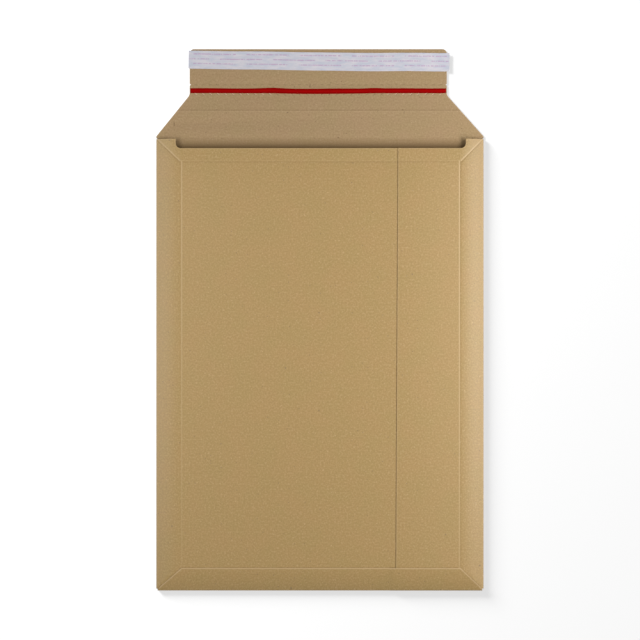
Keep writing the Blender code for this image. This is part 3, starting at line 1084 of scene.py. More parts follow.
@dataclass
class BoardForm:
    """Sizes of the folded board, and the place of each point of the flat blank.

    Heights are to the middle of the board, and pairs are for the left and right panel.
    """

    low: Vector
    high: Vector
    fold_gap: float = 0.0008
    fold_spring: float = math.radians(20.0)     # how far a fold stays open
    glue_gap: float = 0.00018
    crease_border: float = 0.025                # from the envelope's side to its crease
    groove_shifts: Pair = (-0.0003, 0.0009)     # of the grooves from that place
    crease_depth: float = 0.00016
    top_crease_border: float = 0.0237
    top_crease_share: float = 0.6
    # tones of the capacity creases: rubbed and pressed, with a painted highlight on each inner
    # wall and painted shade on each outer wall
    top_rubbed_and_highlight: float = 0.08
    top_pressed_and_shade: float = 0.30
    diagonal_rubbed_and_highlight: Pair = (0.60, 0.75)
    diagonal_pressed_and_shade: float = 0.35
    side_rubbed_and_highlight: Pair = (0.70, 0.80)
    side_pressed_and_shade: Pair = (0.10, 0.22)
    side_fade: Pair = (0.75, 0.50)
    right_panel_at_mouth: float = 0.0863
    seam_lean: float = 0.0022
    seam_overlap: float = 0.022
    panel_setback: float = 0.0020
    corner_tabs: Pair = (0.0199, 0.0182)
    tab_gap: float = 0.0009                     # between a corner tab and the flap's crease
    diagonal_shift: float = 0.0012              # of a diagonal crease from its corner
    notch_depth: float = 0.0104
    notch_radius: float = 0.0050
    bottom_flap: float = 0.0234
    edge_shadow_width: float = 0.0011                  # of the painted shadow beside an edge on top
    # strength of the shadow painted on a panel beside the seam's and the bottom flap's edges
    edge_shadow_strength: float = 0.30
    # side folds painted paler, a painted highlight on their rounding
    fold_tone: float = 0.25
    bottom_mitres: Pair = (0.0258, 0.0235)
    bottom_corner: float = 0.0014
    bottom_fold_length: float = 0.004
    step_length: float = 0.006                  # of the bottom flap's step up at the seam
    hip_blend: float = 0.0003                   # softens the ridge between two slopes

    def __post_init__(self) -> None:
        """Work out the places that follow from the sizes."""
        self.half_width = self.high.x
        self.crease_y = self.high.y                         # crease of the closing flap
        self.mouth_y = self.crease_y - self.notch_depth     # mouth edge of the front panels
        self.panel_y = self.low.y + self.panel_setback      # their lower edge
        self.bottom_edge_y = self.low.y + self.bottom_flap  # free edge of the bottom flap
        self.bottom_fold_v = self.panel_y - BOARD / 2       # start of its fold in the sheet
        self.layer = BOARD + self.glue_gap
        self.side_arc = (self.fold_gap + BOARD) / 2
        self.fold_x = self.half_width - self.side_arc - BOARD / 2
        self.fold_turn = math.pi - self.fold_spring
        self.fold_length = math.pi * self.side_arc
        self.panel_x = self.fold_x + self.side_arc * math.sin(self.fold_spring)
        self.panel_z = BOARD / 2 + self.side_arc * (1 + math.cos(self.fold_spring))
        self.crease_x = self.half_width - self.crease_border
        self.span = self.panel_x - self.crease_x            # width of the sloping border
        self.rise = self.span * math.tan(self.fold_spring) / 2

    def groove_x(self, side: Side) -> float:
        """Distance from the middle to the groove along one side's crease."""
        return self.crease_x + side.of(self.groove_shifts)

    def seam_x(self, y: float) -> float:
        """Cut edge of the right panel, which leans a little."""
        slope = self.seam_lean / (self.mouth_y - self.panel_y)
        return self.half_width - self.right_panel_at_mouth - slope * (self.mouth_y - y)

    def arch(self, distance: float) -> float:
        """Share of a panel's rise at a distance from its fold, 1 past the crease."""
        inward = min(max(distance, 0.0) / self.span, 1.0)
        return 1.0 - (1.0 - inward) ** 2

    def panel_u(self, x: float, side: Side) -> float:
        """Sheet coordinate of a place on a front panel."""
        return side * (self.fold_x + self.fold_length + self.panel_x) - x

    def flap_v(self, y: float) -> float:
        """Sheet coordinate of a place on the bottom flap."""
        return self.bottom_fold_v - self.bottom_fold_length - (y - self.panel_y)

    def creases(self, side: Side) -> list[Crease]:
        """Capacity creases of one front panel: diagonal, top and side.

        Args:
            side: Which front panel.

        Returns:
            The three creases, each from its outer or upper end.
        """
        outer = Vector((side * self.panel_x, self.crease_y - self.diagonal_shift))
        corner = Vector((side * self.groove_x(side), self.crease_y - self.top_crease_border))
        elbow = corner + Vector((side * self.diagonal_shift, 0.0))
        inner_end = self.seam_x(corner.y) + (self.seam_overlap if side is Side.LEFT else 0.0)
        top_end = Vector((inner_end, corner.y))
        foot = Vector((side * self.groove_x(side), self.bottom_edge_y))
        depth = self.crease_depth
        return [Crease(outer, elbow, -depth, -side, side.of(self.diagonal_rubbed_and_highlight),
                       self.diagonal_pressed_and_shade),
                Crease(elbow, top_end, -self.top_crease_share * depth, -side, self.top_rubbed_and_highlight,
                       self.top_pressed_and_shade),
                Crease(corner, foot, -depth, -side, side.of(self.side_rubbed_and_highlight),
                       side.of(self.side_pressed_and_shade), fade=side.of(self.side_fade))]

    def panel_level(self, side: Side, x: float, y: float) -> float:
        """Middle of a front panel's board, with the right panel one layer higher.

        Args:
            side: Which front panel.
            x: Place across the envelope.
            y: Place along the envelope.

        Returns:
            Height over the table.
        """
        stacked = self.layer if side is Side.RIGHT else 0.0
        sideways = (self.rise + stacked) * self.arch(self.panel_x - abs(x))
        endways = stacked + self.rise * self.arch(y - self.panel_y)
        return self.panel_z + soft_min(sideways, endways, self.hip_blend)

    def fold_side(self, u: float, v: float) -> Vector:
        """Place a sheet point that lies beyond a side fold.

        Args:
            u: Place across the sheet.
            v: Place along the sheet.

        Returns:
            Its place on the folded board.
        """
        side = Side.RIGHT if u > 0 else Side.LEFT
        past = abs(u) - self.fold_x
        if past <= self.fold_length:
            turn = self.fold_turn * past / self.fold_length
            x = self.fold_x + self.side_arc * math.sin(turn)
            return Vector((side * x, v, BOARD / 2 + self.side_arc * (1 - math.cos(turn))))
        x = side * (self.panel_x - (past - self.fold_length))
        lift = sum(crease.lift(x, v) for crease in self.creases(side))
        return Vector((x, v, self.panel_level(side, x, v) + lift))

    def flap_lift(self, x: float) -> float:
        """Extra height of the bottom flap where it lies on the right panel."""
        top = self.seam_x(self.bottom_edge_y) - self.seam_lean
        return self.layer * smooth_step((x - (top - self.step_length)) / self.step_length)

    def bottom_arc(self, x: float) -> float:
        """Radius of the bottom fold, which takes in the panels under the flap.

        Args:
            x: Place across the envelope.

        Returns:
            Radius to the middle of the board.
        """
        rise, slope = math.cos(self.fold_spring), math.tan(self.fold_spring)
        height = self.panel_z + self.layer + self.flap_lift(x) - BOARD / 2
        height -= (self.panel_setback - BOARD / 2) * slope
        return height / (1 + rise - (1 - math.sin(self.fold_spring)) * slope)

    def fold_bottom(self, u: float, v: float) -> Vector:
        """Place a sheet point that lies beyond the bottom fold.

        Args:
            u: Place across the sheet.
            v: Place along the sheet.

        Returns:
            Its place on the folded board.
        """
        radius = self.bottom_arc(u)
        past = self.bottom_fold_v - v
        if past <= self.bottom_fold_length:
            turn = self.fold_turn * past / self.bottom_fold_length
            y = self.low.y + BOARD / 2 + radius * (1 - math.sin(turn))
            return Vector((u, y, BOARD / 2 + radius * (1 - math.cos(turn))))
        y = self.panel_y + past - self.bottom_fold_length
        level = self.panel_z + self.rise * self.arch(y - self.panel_y)
        return Vector((u, y, level + self.layer + self.flap_lift(u)))

    def place(self, u: float, v: float) -> Vector:
        """Place one point of the flat sheet on the folded board's middle surface.

        Args:
            u: Place across the sheet.
            v: Place along the sheet.

        Returns:
            Its place on the folded board.
        """
        if abs(u) > self.fold_x + MERGE_DISTANCE and v > self.panel_y - MERGE_DISTANCE:
            return self.fold_side(u, v)
        if v < self.bottom_fold_v + MERGE_DISTANCE:
            return self.fold_bottom(u, v)
        return Vector((u, v, BOARD / 2))

    def tone(self, u: float, v: float) -> float:
        """Tone of a sheet point: painted highlight on the side folds, rubbing with painted
        highlight and shade at the creases, and painted shadow beside edges on top.

        Args:
            u: Place across the sheet.
            v: Place along the sheet.

        Returns:
            Tone, above 0 where rubbed and below 0 where pressed.
        """
        if abs(u) <= self.fold_x or v < self.panel_y - MERGE_DISTANCE:
            return 0.0
        if abs(u) <= self.fold_x + self.fold_length:
            return self.fold_tone
        side = Side.RIGHT if u > 0 else Side.LEFT
        x = self.panel_u(0.0, side) - u
        creased = sum(crease.tone(x, v) for crease in self.creases(side))
        return creased - self.edge_shadow_strength * self.edge_shadow(side, x, v)

    def edge_shadow(self, side: Side, x: float, y: float) -> float:
        """Strength at a panel's point of the shadow painted beside the seam's and the bottom
        flap's edges.

        Args:
            side: Which front panel.
            x: Place across the envelope.
            y: Place along the envelope.

        Returns:
            Strength of the painted shadow, from 0 to 1.
        """
        beyond_seam = self.seam_x(y) - x if side is Side.LEFT else self.edge_shadow_width
        beyond_flap = y - self.bottom_edge_y if abs(x) < self.crease_x else self.edge_shadow_width
        nearest = min(max(beyond_seam, 0.0), max(beyond_flap, 0.0))
        return max(0.0, 1.0 - nearest / self.edge_shadow_width)

    def at_hinge(self, point: Vector) -> bool:
        """Tell whether a point of the rear panel is where the closing flap goes on."""
        return point.y > self.crease_y - MERGE_DISTANCE and point.z < BOARD + MERGE_DISTANCE


@dataclass
class FoldedBoard:
    """Rear panel, side folds, front panels and bottom flap, folded from one blank."""

    form: BoardForm
    flap_edge_tone: float = 0.80        # of the bottom flap's edge, rubbed palest, with a painted highlight
    fold_steps: int = 14
    arch_steps: int = 12
    step_columns: int = 6
    panel_pitch: float = 0.030          # least length of a panel's cells

    def build(self, finishes: BoardFinishes) -> bpy.types.Object:
        """Cut, crease, fold and dress the board.

        Args:
            finishes: The board's finishes.

        Returns:
            The finished piece, riding on the envelope.
        """
        blank = self.cut_blank()
        self.score(blank)
        raise_board(blank, finishes, self.pale_edge_and_highlight, self.form.tone, self.form.place)
        soften_edges(blank, self.form.at_hinge)
        shade_smoothly(blank)
        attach(blank, Body.ENVELOPE.value)
        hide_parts("folded_board")
        report(blank)
        return blank

    def pale_edge_and_highlight(self, u: float, v: float) -> float:
        """Tone of the cut edge at a place of the sheet, rubbed pale with a painted highlight: none
        where the closing flap goes on.

        Args:
            u: Place across the sheet.
            v: Place along the sheet.

        Returns:
            Tone of the edge, 0 or more.
        """
        if v < self.form.flap_v(self.form.panel_y):
            return self.flap_edge_tone
        if v > self.form.crease_y - EDGE_BAND and abs(u) < self.form.fold_x:
            return 0.0
        return EDGE_TONE

    def cut_blank(self) -> bpy.types.Object:
        """Cut the outline of the flat blank from one sheet.

        Returns:
            The flat blank.
        """
        form = self.form
        left_end = form.panel_u(form.seam_x(form.mouth_y) + form.seam_overlap, Side.LEFT)
        right_end = form.panel_u(form.seam_x(form.panel_y), Side.RIGHT)
        low = (left_end, form.flap_v(form.bottom_edge_y))
        blank = new_sheet("board", low, (right_end, form.crease_y))
        with on_the_bench(blank):
            cut_across([-form.fold_x, form.fold_x])
            cut_along([form.panel_y])
            remove_faces(lambda middle: abs(middle.x) > form.fold_x and middle.y < form.panel_y)
            for side in Side:
                self.trim_bottom_flap(side)
                self.trim_panel(side)
            border()
        return blank

    def trim_bottom_flap(self, side: Side) -> None:
        """Trim one end of the bottom flap: relief at the fold, straight run and mitre.

        Args:
            side: Which end.
        """
        form = self.form
        flap_x = side * (form.half_width - form.bottom_corner)
        mitre_x = side * (form.half_width - side.of(form.bottom_mitres))
        relief = (side * form.fold_x, form.panel_y), (flap_x, form.bottom_fold_v)
        straight = (flap_x, form.bottom_fold_v), (flap_x, form.flap_v(form.panel_y))
        mitre = straight[1], (mitre_x, form.flap_v(form.bottom_edge_y))
        cut_along([form.bottom_fold_v, straight[1][1]],
                  lambda middle: middle.y < form.panel_y)
        for start, end in (relief, straight, mitre):
            if side is Side.RIGHT:
                start, end = end, start
            low, high = sorted((start[1], end[1]))
            trim_line(start, end, lambda middle: low < middle.y < high)

    def trim_panel(self, side: Side) -> None:
        """Trim one front panel: leaning free edge, mouth, tab and rounded notch.

        Args:
            side: Which front panel.
        """
        form = self.form
        overlap = 0.0 if side is Side.RIGHT else form.seam_overlap
        tab_x = form.half_width - side.of(form.corner_tabs)
        tab_u = form.panel_u(side * tab_x, side)
        tab_top = form.crease_y - form.tab_gap

        def on_panel(middle: Vector) -> bool:
            """Tell whether a face belongs to this panel."""
            return middle.x * side > form.fold_x

        foot = (form.panel_u(form.seam_x(form.panel_y) + overlap, side), form.panel_y)
        head = (form.panel_u(form.seam_x(form.mouth_y) + overlap, side), form.mouth_y)
        start, end = (foot, head) if side is Side.RIGHT else (head, foot)
        trim_line(start, end, on_panel)
        trim_line((1.0, tab_top), (0.0, tab_top), on_panel)
        cut_across([tab_u], on_panel)
        cut_along([form.mouth_y], on_panel)
        remove_faces(lambda middle: middle.x * side > tab_u * side and middle.y > form.mouth_y)
        weld_faces(on_panel)
        round_off(tab_u, form.mouth_y, form.notch_radius)

    def score(self, blank: bpy.types.Object) -> None:
        """Cut the blank along its folds, slopes and creases.

        Args:
            blank: The flat blank.
        """
        form = self.form
        slope = steps_between(0.0, form.span, self.arch_steps)
        with on_the_bench(blank):
            for side in Side:
                fold_end = form.fold_x + form.fold_length
                cut_across([side * place for place in
                            steps_between(form.fold_x, fold_end, self.fold_steps)])
                cut_across([form.panel_u(side * (form.panel_x - step), side) for step in slope])
                cut_across([form.panel_u(side * (form.groove_x(side) + cut), side)
                            for cut in Crease.CUTS])
            step_end = form.seam_x(form.bottom_edge_y) - form.seam_lean
            cut_across(steps_between(step_end - form.step_length, step_end, self.step_columns))
            fold_end = form.bottom_fold_v - form.bottom_fold_length
            cut_along(steps_between(fold_end, form.bottom_fold_v, self.fold_steps))
            cut_along([form.flap_v(form.panel_y + step) for step in slope])
            cut_along([form.panel_y + step for step in slope])
            cut_along([form.bottom_edge_y, form.bottom_edge_y + form.edge_shadow_width])
            for shift in (0.0, form.edge_shadow_width):
                foot = form.panel_u(form.seam_x(form.panel_y) - shift, Side.LEFT)
                head = form.panel_u(form.seam_x(form.mouth_y) - shift, Side.LEFT)
                cut_line((foot, form.panel_y), (head, form.mouth_y),
                         lambda middle: middle.x < -form.fold_x)
            top = form.crease_y - form.top_crease_border
            cut_along([top - cut for cut in Crease.CUTS])
            rows = int((top - form.panel_y - form.span) / self.panel_pitch)
            cut_along(steps_between(form.panel_y + form.span, top, rows)[1:-1])
            for side in Side:
                self.score_diagonal(side)

    def score_diagonal(self, side: Side) -> None:
        """Cut a corner's square along its diagonal crease.

        Args:
            side: Which front panel.
        """
        form = self.form
        diagonal = form.creases(side)[0]
        start = Vector((form.panel_u(diagonal.start.x, side), diagonal.start.y))
        end = Vector((form.panel_u(diagonal.end.x, side), diagonal.end.y))
        low = Vector((min(start.x, end.x), min(start.y, end.y)))
        high = Vector((max(start.x, end.x), max(start.y, end.y)))
        run = (end - start).normalized()

        def in_square(middle: Vector) -> bool:
            """Tell whether a face lies at this corner."""
            return low.x < middle.x < high.x and low.y < middle.y < high.y

        for cut in Crease.CUTS:
            shift = Vector((run.y, -run.x)) * cut * -side
            cut_line(start + shift, end + shift, in_square)


# Closing flap and what lies on it


@dataclass
class ClosingFlap:
    """Flared closing flap with its second crease, perforations and locating nicks."""

    low: Vector
    high: Vector
    crease_y: float
    shoulder: float = 0.0021            # past the crease, where the sides start to slant
    flare: float = 0.0436               # past the crease, where the tab starts
    tab_width: float = 0.2594
    tab_offset: float = -0.0017
    corner_radius: float = 0.0045
    neck_radius: float = 0.0020
    crease: float = 0.0278              # second crease, past the first one
    crease_height: float = 0.00016
    # tone of the second crease: rubbed and pressed, with a painted highlight and painted shade on
    # its walls
    crease_rubbed_and_highlight: float = 0.16
    crease_pressed_and_shade: float = 0.32
    tear_base: float = 0.0455
    tear_width: float = 0.0050
    pitch: float = 0.0075
    cut_length: float = 0.0028
    cut_width: float = 0.00024
    cut_above: float = 0.0036           # from the tear strip to the row above it
    cut_below: float = 0.0012
    cut_slant: float = math.radians(38.0)
    cut_margin: float = 0.0015          # of the tab's sides that no cut enters
    nick_depth: float = 0.0012
    nick_width: float = 0.0020
    slit_length: float = 0.0036
    slit_width: float = 0.00060
    cut_depth: float = 0.00042
    slits: tuple[Pair, ...] = ((-0.1471, 0.0144), (-0.0100, 0.0530))    # across, past crease

    def __post_init__(self) -> None:
        """Work out the tab's sides and the two perforation rows beside the tear strip."""
        self.tab_left = self.tab_offset - self.tab_width / 2
        self.tab_right = self.tab_offset + self.tab_width / 2
        self.lower_row = self.crease_y + self.tear_base - self.cut_below
        self.upper_row = self.crease_y + self.tear_base + self.tear_width + self.cut_above

    def build(self, finishes: BoardFinishes) -> bpy.types.Object:
        """Cut, crease, perforate and dress the flap.

        Args:
            finishes: The board's finishes.

        Returns:
            The finished piece, riding on the flap.
        """
        flap = self.cut_outline()
        raise_board(flap, finishes, self.pale_edge_and_highlight, self.crease_line().tone, self.place)
        self.perforate(flap)
        soften_edges(flap, self.at_hinge)
        shade_smoothly(flap)
        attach(flap, Body.FLAP.value)
        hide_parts("closing_flap")
        report(flap)
        return flap

    def cut_outline(self) -> bpy.types.Object:
        """Cut the flap's outline and score its crease.

        Returns:
            The flat flap.
        """
        shoulder_y = self.crease_y + self.shoulder
        neck_y = self.crease_y + self.flare
        flap = new_sheet("flap_board", self.low.xy, self.high.xy)
        with on_the_bench(flap):
            cut_along([shoulder_y, neck_y])
            cut_line((self.low.x, shoulder_y), (self.tab_left, neck_y),
                     lambda middle: shoulder_y < middle.y < neck_y)
            cut_line((self.tab_right, neck_y), (self.high.x, shoulder_y),
                     lambda middle: shoulder_y < middle.y < neck_y)
            cut_across([self.tab_left, self.tab_right], lambda middle: middle.y > neck_y)
            remove_faces(self.is_waste)
            weld_faces(everywhere)
            for x in (self.tab_left, self.tab_right):
                round_off(x, self.high.y, self.corner_radius)
                round_off(x, neck_y, self.neck_radius)
                self.notch_side(x)
            border()
            middle_y = self.crease_y + self.crease
            cut_along([middle_y + cut for cut in Crease.CUTS])
        return flap

    def is_waste(self, middle: Vector) -> bool:
        """Tell whether a face lies outside the flap's slanted sides.

        Args:
            middle: Middle of the face.

        Returns:
            True where the face is cut away.
        """
        if middle.y < self.crease_y + self.shoulder:
            return False
        share = min((middle.y - self.crease_y - self.shoulder) / (self.flare - self.shoulder), 1.0)
        left = self.low.x + (self.tab_left - self.low.x) * share
        right = self.high.x + (self.tab_right - self.high.x) * share
        return not left < middle.x < right

    def notch_side(self, x: float) -> None:
        """Cut the small notches in one side of the tab, at the ends of the upper row.

        Args:
            x: Place of the tab's side.
        """
        inward = math.copysign(self.nick_depth, -x)
        reach = self.nick_width / 2
        for place in (self.upper_row - reach, self.upper_row, self.upper_row + reach):
            self.split_side(x, place)
        pick_points(lambda point: near(point, x, self.upper_row))
        bpy.ops.transform.translate(value=(inward, 0.0, 0.0))

    @staticmethod
    def split_side(x: float, y: float) -> None:
        """Add a point to the tab's side without cutting the flap across.

        Args:
            x: Place of the tab's side.
            y: Place of the new point along it.
        """
        mesh = edited_mesh()
        for edge in list(mesh.edges):
            lower, upper = sorted(edge.verts, key=lambda vert: vert.co.y)
            upright = abs(lower.co.x - x) < MERGE_DISTANCE and abs(upper.co.x - x) < MERGE_DISTANCE
            if upright and lower.co.y < y < upper.co.y:
                bmesh.utils.edge_split(edge, lower, (y - lower.co.y) / (upper.co.y - lower.co.y))
                break
        bmesh.update_edit_mesh(bpy.context.edit_object.data)

    def crease_line(self) -> Crease:
        """Second crease, right across the flap.

        Returns:
            The crease, from left to right.
        """
        y = self.crease_y + self.crease
        return Crease(Vector((self.low.x, y)), Vector((self.high.x, y)), self.crease_height,
                      outer_side=-1, rubbed_and_highlight=self.crease_rubbed_and_highlight, pressed_and_shade=self.crease_pressed_and_shade)

    def place(self, x: float, y: float) -> Vector:
        """Lay a point of the flap on the table, with the bead of its second crease."""
        return Vector((x, y, BOARD / 2 + self.crease_line().lift(x, y)))

    def pale_edge_and_highlight(self, _x: float, y: float) -> float:
        """Tone of the cut edge at a place of the flap, rubbed pale with a painted highlight: none
        at its hinge.
        """
        return 0.0 if y < self.low.y + EDGE_BAND else EDGE_TONE

    def at_hinge(self, point: Vector) -> bool:
        """Tell whether a point is where the flap goes on into the rear panel."""
        return point.y < self.low.y + MERGE_DISTANCE

    def cut_places(self) -> list[Triple]:
        """Middle and slant of every cut of the two rows.

        Returns:
            Place across, place along and slant of each cut.
        """
        count = int((self.tab_width / 2 - self.cut_margin) / self.pitch)
        places = []
        for side in Side:
            for step in range(count):
                x = self.tab_offset + side * self.pitch * (step + 0.5)
                places.append((x, self.lower_row, side * self.cut_slant))
                places.append((x, self.upper_row, 0.0))
        return places

    def model_cutter(self, length: float, width: float, slant: float,
                     centre: Pair) -> bpy.types.Object:
        """Model the block that cuts one slot.

        Args:
            length: Length of the slot.
            width: Width of the slot.
            slant: Turn of the slot from the X axis.
            centre: Place of the slot's middle.

        Returns:
            The block, with its place in its mesh.
        """
        bpy.ops.mesh.primitive_cube_add(size=1.0, location=(0.0, 0.0, 0.0))
        cutter = bpy.context.object
        with on_the_bench(cutter):
            bpy.ops.mesh.select_all(action="SELECT")
            bpy.ops.transform.resize(value=(length, width, 2 * self.cut_depth))
        turn_in_place(cutter, slant, Vector((*centre, BOARD)))
        return cutter

    def perforate(self, flap: bpy.types.Object) -> None:
        """Cut both rows of slots and the two locating slits into the flap's inner face.

        Args:
            flap: The solid flap.
        """
        cutters = [self.model_cutter(self.cut_length, self.cut_width, slant, (x, y))
                   for x, y, slant in self.cut_places()]
        for x, past_crease in self.slits:
            cutters.append(self.model_cutter(self.slit_length, self.slit_width, math.pi / 2,
                                             (x, self.crease_y + past_crease)))
        tool = join_pieces("slot_cutter", cutters)
        slots = flap.modifiers.new("slots", "BOOLEAN")
        slots.operation = "DIFFERENCE"
        slots.solver = "EXACT"
        slots.object = tool
        apply_modifiers(flap)
        bpy.data.objects.remove(tool, do_unlink=True)


@dataclass
class TornLips:
    """Pale fibres that the perforating knife lifts beside each cut."""

    flap: ClosingFlap
    length: float = 0.0034
    width: float = 0.0008
    height: float = 0.00006
    offset: float = 0.00050
    sides: int = 10
    crest: Pair = (0.7, 0.5)            # its length and width, as shares of the foot's
    smooth_stretch: Pair = (-0.050, 0.064)      # where the cuts came out clean

    def build(self, finish: bpy.types.Material) -> bpy.types.Object:
        """Model one lip and copy it to every torn cut.

        Args:
            finish: Finish of the torn fibres.

        Returns:
            The finished lips, riding on the flap.
        """
        pattern = self.model_lip()
        copies = []
        for x, y, slant in self.torn_places():
            copy = bpy.data.objects.new("lip", pattern.data.copy())
            bpy.context.scene.collection.objects.link(copy)
            shift = Vector((-math.sin(slant), math.cos(slant), 0.0)) * self.offset
            turn_in_place(copy, slant, Vector((x, y, BOARD)) + shift)
            copies.append(copy)
        bpy.data.objects.remove(pattern, do_unlink=True)
        lips = join_pieces("torn_lips", copies)
        dress(lips, [finish])
        shade_smoothly(lips)
        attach(lips, Body.FLAP.value)
        report(lips)
        return lips

    def torn_places(self) -> list[Triple]:
        """Cuts of the lower row that are torn, which are those towards both its ends.

        Returns:
            Place across, place along and slant of each torn cut.
        """
        low, high = self.smooth_stretch
        return [(x, y, slant) for x, y, slant in self.flap.cut_places()
                if y < self.flap.upper_row - MERGE_DISTANCE and not low < x < high]

    def model_lip(self) -> bpy.types.Object:
        """Model one lip as a low lens.

        Returns:
            The lip, at the origin.
        """
        bpy.ops.mesh.primitive_circle_add(vertices=self.sides, radius=0.5, fill_type="NGON",
                                          location=(0.0, 0.0, 0.0))
        lip = bpy.context.object
        with on_the_bench(lip):
            bpy.ops.mesh.select_all(action="SELECT")
            bpy.ops.transform.resize(value=(self.length, self.width, 1.0))
            rise = {"value": (0.0, 0.0, self.height)}
            bpy.ops.mesh.extrude_region_move(TRANSFORM_OT_translate=rise)
            bpy.ops.transform.resize(value=(*self.crest, 1.0))
            bpy.ops.mesh.select_all(action="SELECT")
            bpy.ops.mesh.normals_make_consistent(inside=False)
        return lip


def hump(x: float, middle: float, reach: float) -> float:
    """Bell shape, 1 at its middle and about a third at its reach."""
    return math.exp(-((x - middle) / reach) ** 2)


def sway(x: float, waves: Sequence[Triple]) -> float:
    """Sum of sine waves, each given as height, radians to a metre and phase."""
    return sum(height * math.sin(x * rate + phase) for height, rate, phase in waves)


def even_change(change: Pair, place: float) -> float:
    """Value at a place, given as the value at 0 and what it gains on the way to 1."""
    return change[0] + change[1] * place


@dataclass
class TearTape:
    """Red film stuck across the flap, a little uneven along its edges."""

    low: Vector
    high: Vector
    thickness: float = 0.00010
    crown: float = 0.00010
    waves: tuple[Triple, ...] = ((0.00012, 95.0, 0.0), (0.00008, 41.0, 1.3))
    bulges: tuple[Pair, ...] = ((-0.048, 0.011), (0.055, 0.009))
    bulge_height: float = 0.0006
    bulge_share: Pair = (0.62, 0.38)    # at the film's middle, and the gain at its edge
    sag_share: Pair = (0.80, -0.20)
    sag_depth: float = 0.00080
    sag_reach: float = 0.045
    columns: int = 96
    rows: int = 6

    def build(self, finish: bpy.types.Material) -> bpy.types.Object:
        """Lay and dress the tape.

        Args:
            finish: Finish of the film.

        Returns:
            The finished tape, riding on the flap.
        """
        centre = (self.low + self.high) / 2
        half = (self.high - self.low) / 2
        tape = new_strip("tear_tape", half, self.columns, self.rows)

        def place(x: float, y: float) -> Vector:
            """Lay a point of the film on the flap."""
            across = y / half.y
            crown = self.crown * (1.0 - across * across)
            return Vector((centre.x + x, centre.y + y + self.wander(centre.x + x, across),
                           centre.z + crown))

        shape_sheet(tape, place)
        dress(tape, [finish])
        thicken(tape, self.thickness)
        shade_smoothly(tape)
        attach(tape, Body.FLAP.value)
        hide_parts("tear_strip")
        report(tape)
        return tape

    def wander(self, x: float, across: float) -> float:
        """How far the film strays along the flap: bulges at its upper edge, a sag midway.

        Args:
            x: Place across the flap.
            across: Place across the film, from -1 at its lower edge to 1 at its upper one.

        Returns:
            Shift along the flap.
        """
        stray = sway(x, self.waves)
        for middle, reach in self.bulges:
            stray += self.bulge_height * hump(x, middle, reach)
        sag = self.sag_depth * hump(x, 0.0, self.sag_reach)
        stray *= even_change(self.bulge_share, across)
        return stray - sag * even_change(self.sag_share, across)


@dataclass
class ReleaseLiner:
    """Paper strip over the adhesive, overhanging both sides and lifting at one end."""

    low: Vector
    high: Vector
    length: float = 0.2632
    width: float = 0.0185
    tilt: float = math.radians(-0.58)
    taper: float = 0.0004
    sag_depth: float = 0.00085
    sag_reach: float = 0.065
    sag_middle: float = 0.030
    thickness: float = 0.00009
    waves: tuple[Triple, ...] = ((0.00014, 24.0, 0.6), (0.00010, 88.0, 0.0))
    left_overhang: float = 0.0030
    left_lift: float = 0.0004
    curl: float = 0.00025
    curl_reach: float = 0.0072
    curl_share: Pair = (0.6, 0.4)       # at the strip's middle, and the gain at its edges
    ripple: float = 0.00015
    ripple_rate: float = 105.0
    ripple_phase: float = 2.4
    stuck_share: float = 0.72           # of half the width, and beyond it the edge is loose
    columns: int = 110
    rows: int = 8

    def build(self, finish: bpy.types.Material) -> bpy.types.Object:
        """Lay and dress the liner.

        Args:
            finish: Finish of the paper.

        Returns:
            The finished liner, riding on the flap.
        """
        centre = (self.low + self.high) / 2
        half = (self.length / 2, self.width / 2)
        liner = new_strip("liner_paper", half, self.columns, self.rows)
        cosine, sine = math.cos(self.tilt), math.sin(self.tilt)

        def place(x: float, y: float) -> Vector:
            """Lay a point of the paper over the adhesive, with the strip's slight turn."""
            y -= self.taper * (0.5 + y / self.width) * (0.5 - x / self.length)
            stray = self.stray(x)
            return Vector((centre.x + x * cosine - y * sine,
                           centre.y + x * sine + (y + stray) * cosine,
                           centre.z + self.lift(x, y)))

        shape_sheet(liner, place)
        dress(liner, [finish])
        thicken(liner, self.thickness)
        shade_smoothly(liner)
        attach(liner, Body.FLAP.value)
        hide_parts("release_liner")
        report(liner)
        return liner

    def stray(self, x: float) -> float:
        """How far the strip strays along the flap from its straight line."""
        return sway(x, self.waves) - self.sag_depth * hump(x, self.sag_middle, self.sag_reach)

    def lift(self, x: float, y: float) -> float:
        """Height of the paper over the adhesive: ripples at its edges and lifted ends.

        Args:
            x: Place along the strip.
            y: Place across the strip.

        Returns:
            Height over the strip's flat place.
        """
        edge = abs(y) / (self.width / 2)
        phase = self.ripple_phase * math.copysign(1.0, y)
        waves = 0.5 + 0.5 * math.sin(x * self.ripple_rate + phase)
        loose = smooth_step((edge - self.stuck_share) / (1.0 - self.stuck_share))
        right = smooth_step((x - self.length / 2 + self.curl_reach) / self.curl_reach)
        left = smooth_step((-x - self.length / 2 + self.left_overhang) / self.left_overhang)
        curl = self.curl * right * even_change(self.curl_share, edge)
        return self.ripple * waves * loose + curl + self.left_lift * left


@dataclass
class SpineWeb:
    """Narrow strip of board across the crease, between the rear panel and the flap."""

    form: BoardForm
    flap_low: Vector
    columns: int = 14

    def build(self, finishes: BoardFinishes) -> bpy.types.Object:
        """Lay the strip between the rear panel and the flap.

        Args:
            finishes: The board's finishes.

        Returns:
            The finished strip, lying flat between the envelope and the flap.
        """
        near_y, far_y = self.form.crease_y, self.flap_low.y
        half = self.form.half_width
        web = new_sheet("crease_web", (-half, near_y), (half, far_y))
        with on_the_bench(web):
            cut_along(steps_between(near_y, far_y, self.columns)[1:-1])
        raise_board(web, finishes, unmarked, unmarked, lambda x, y: Vector((x, y, BOARD / 2)))
        shade_smoothly(web)
        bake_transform(web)
        report(web)
        return web


def mix_torn_fibre() -> bpy.types.Material:
    """Mix the pale fibres on the lips of the perforation cuts.

    Returns:
        The fibres' material.
    """
    return CloudyFinish("torn_fibre", light=(0.76, 0.55, 0.38), dark=(0.55, 0.37, 0.22),
                        clouds=(3000.0, 2.0, 0.5), spread=(0.4, 0.7), roughness=(0.86, 0.98),
                        depth=0.00003).make()


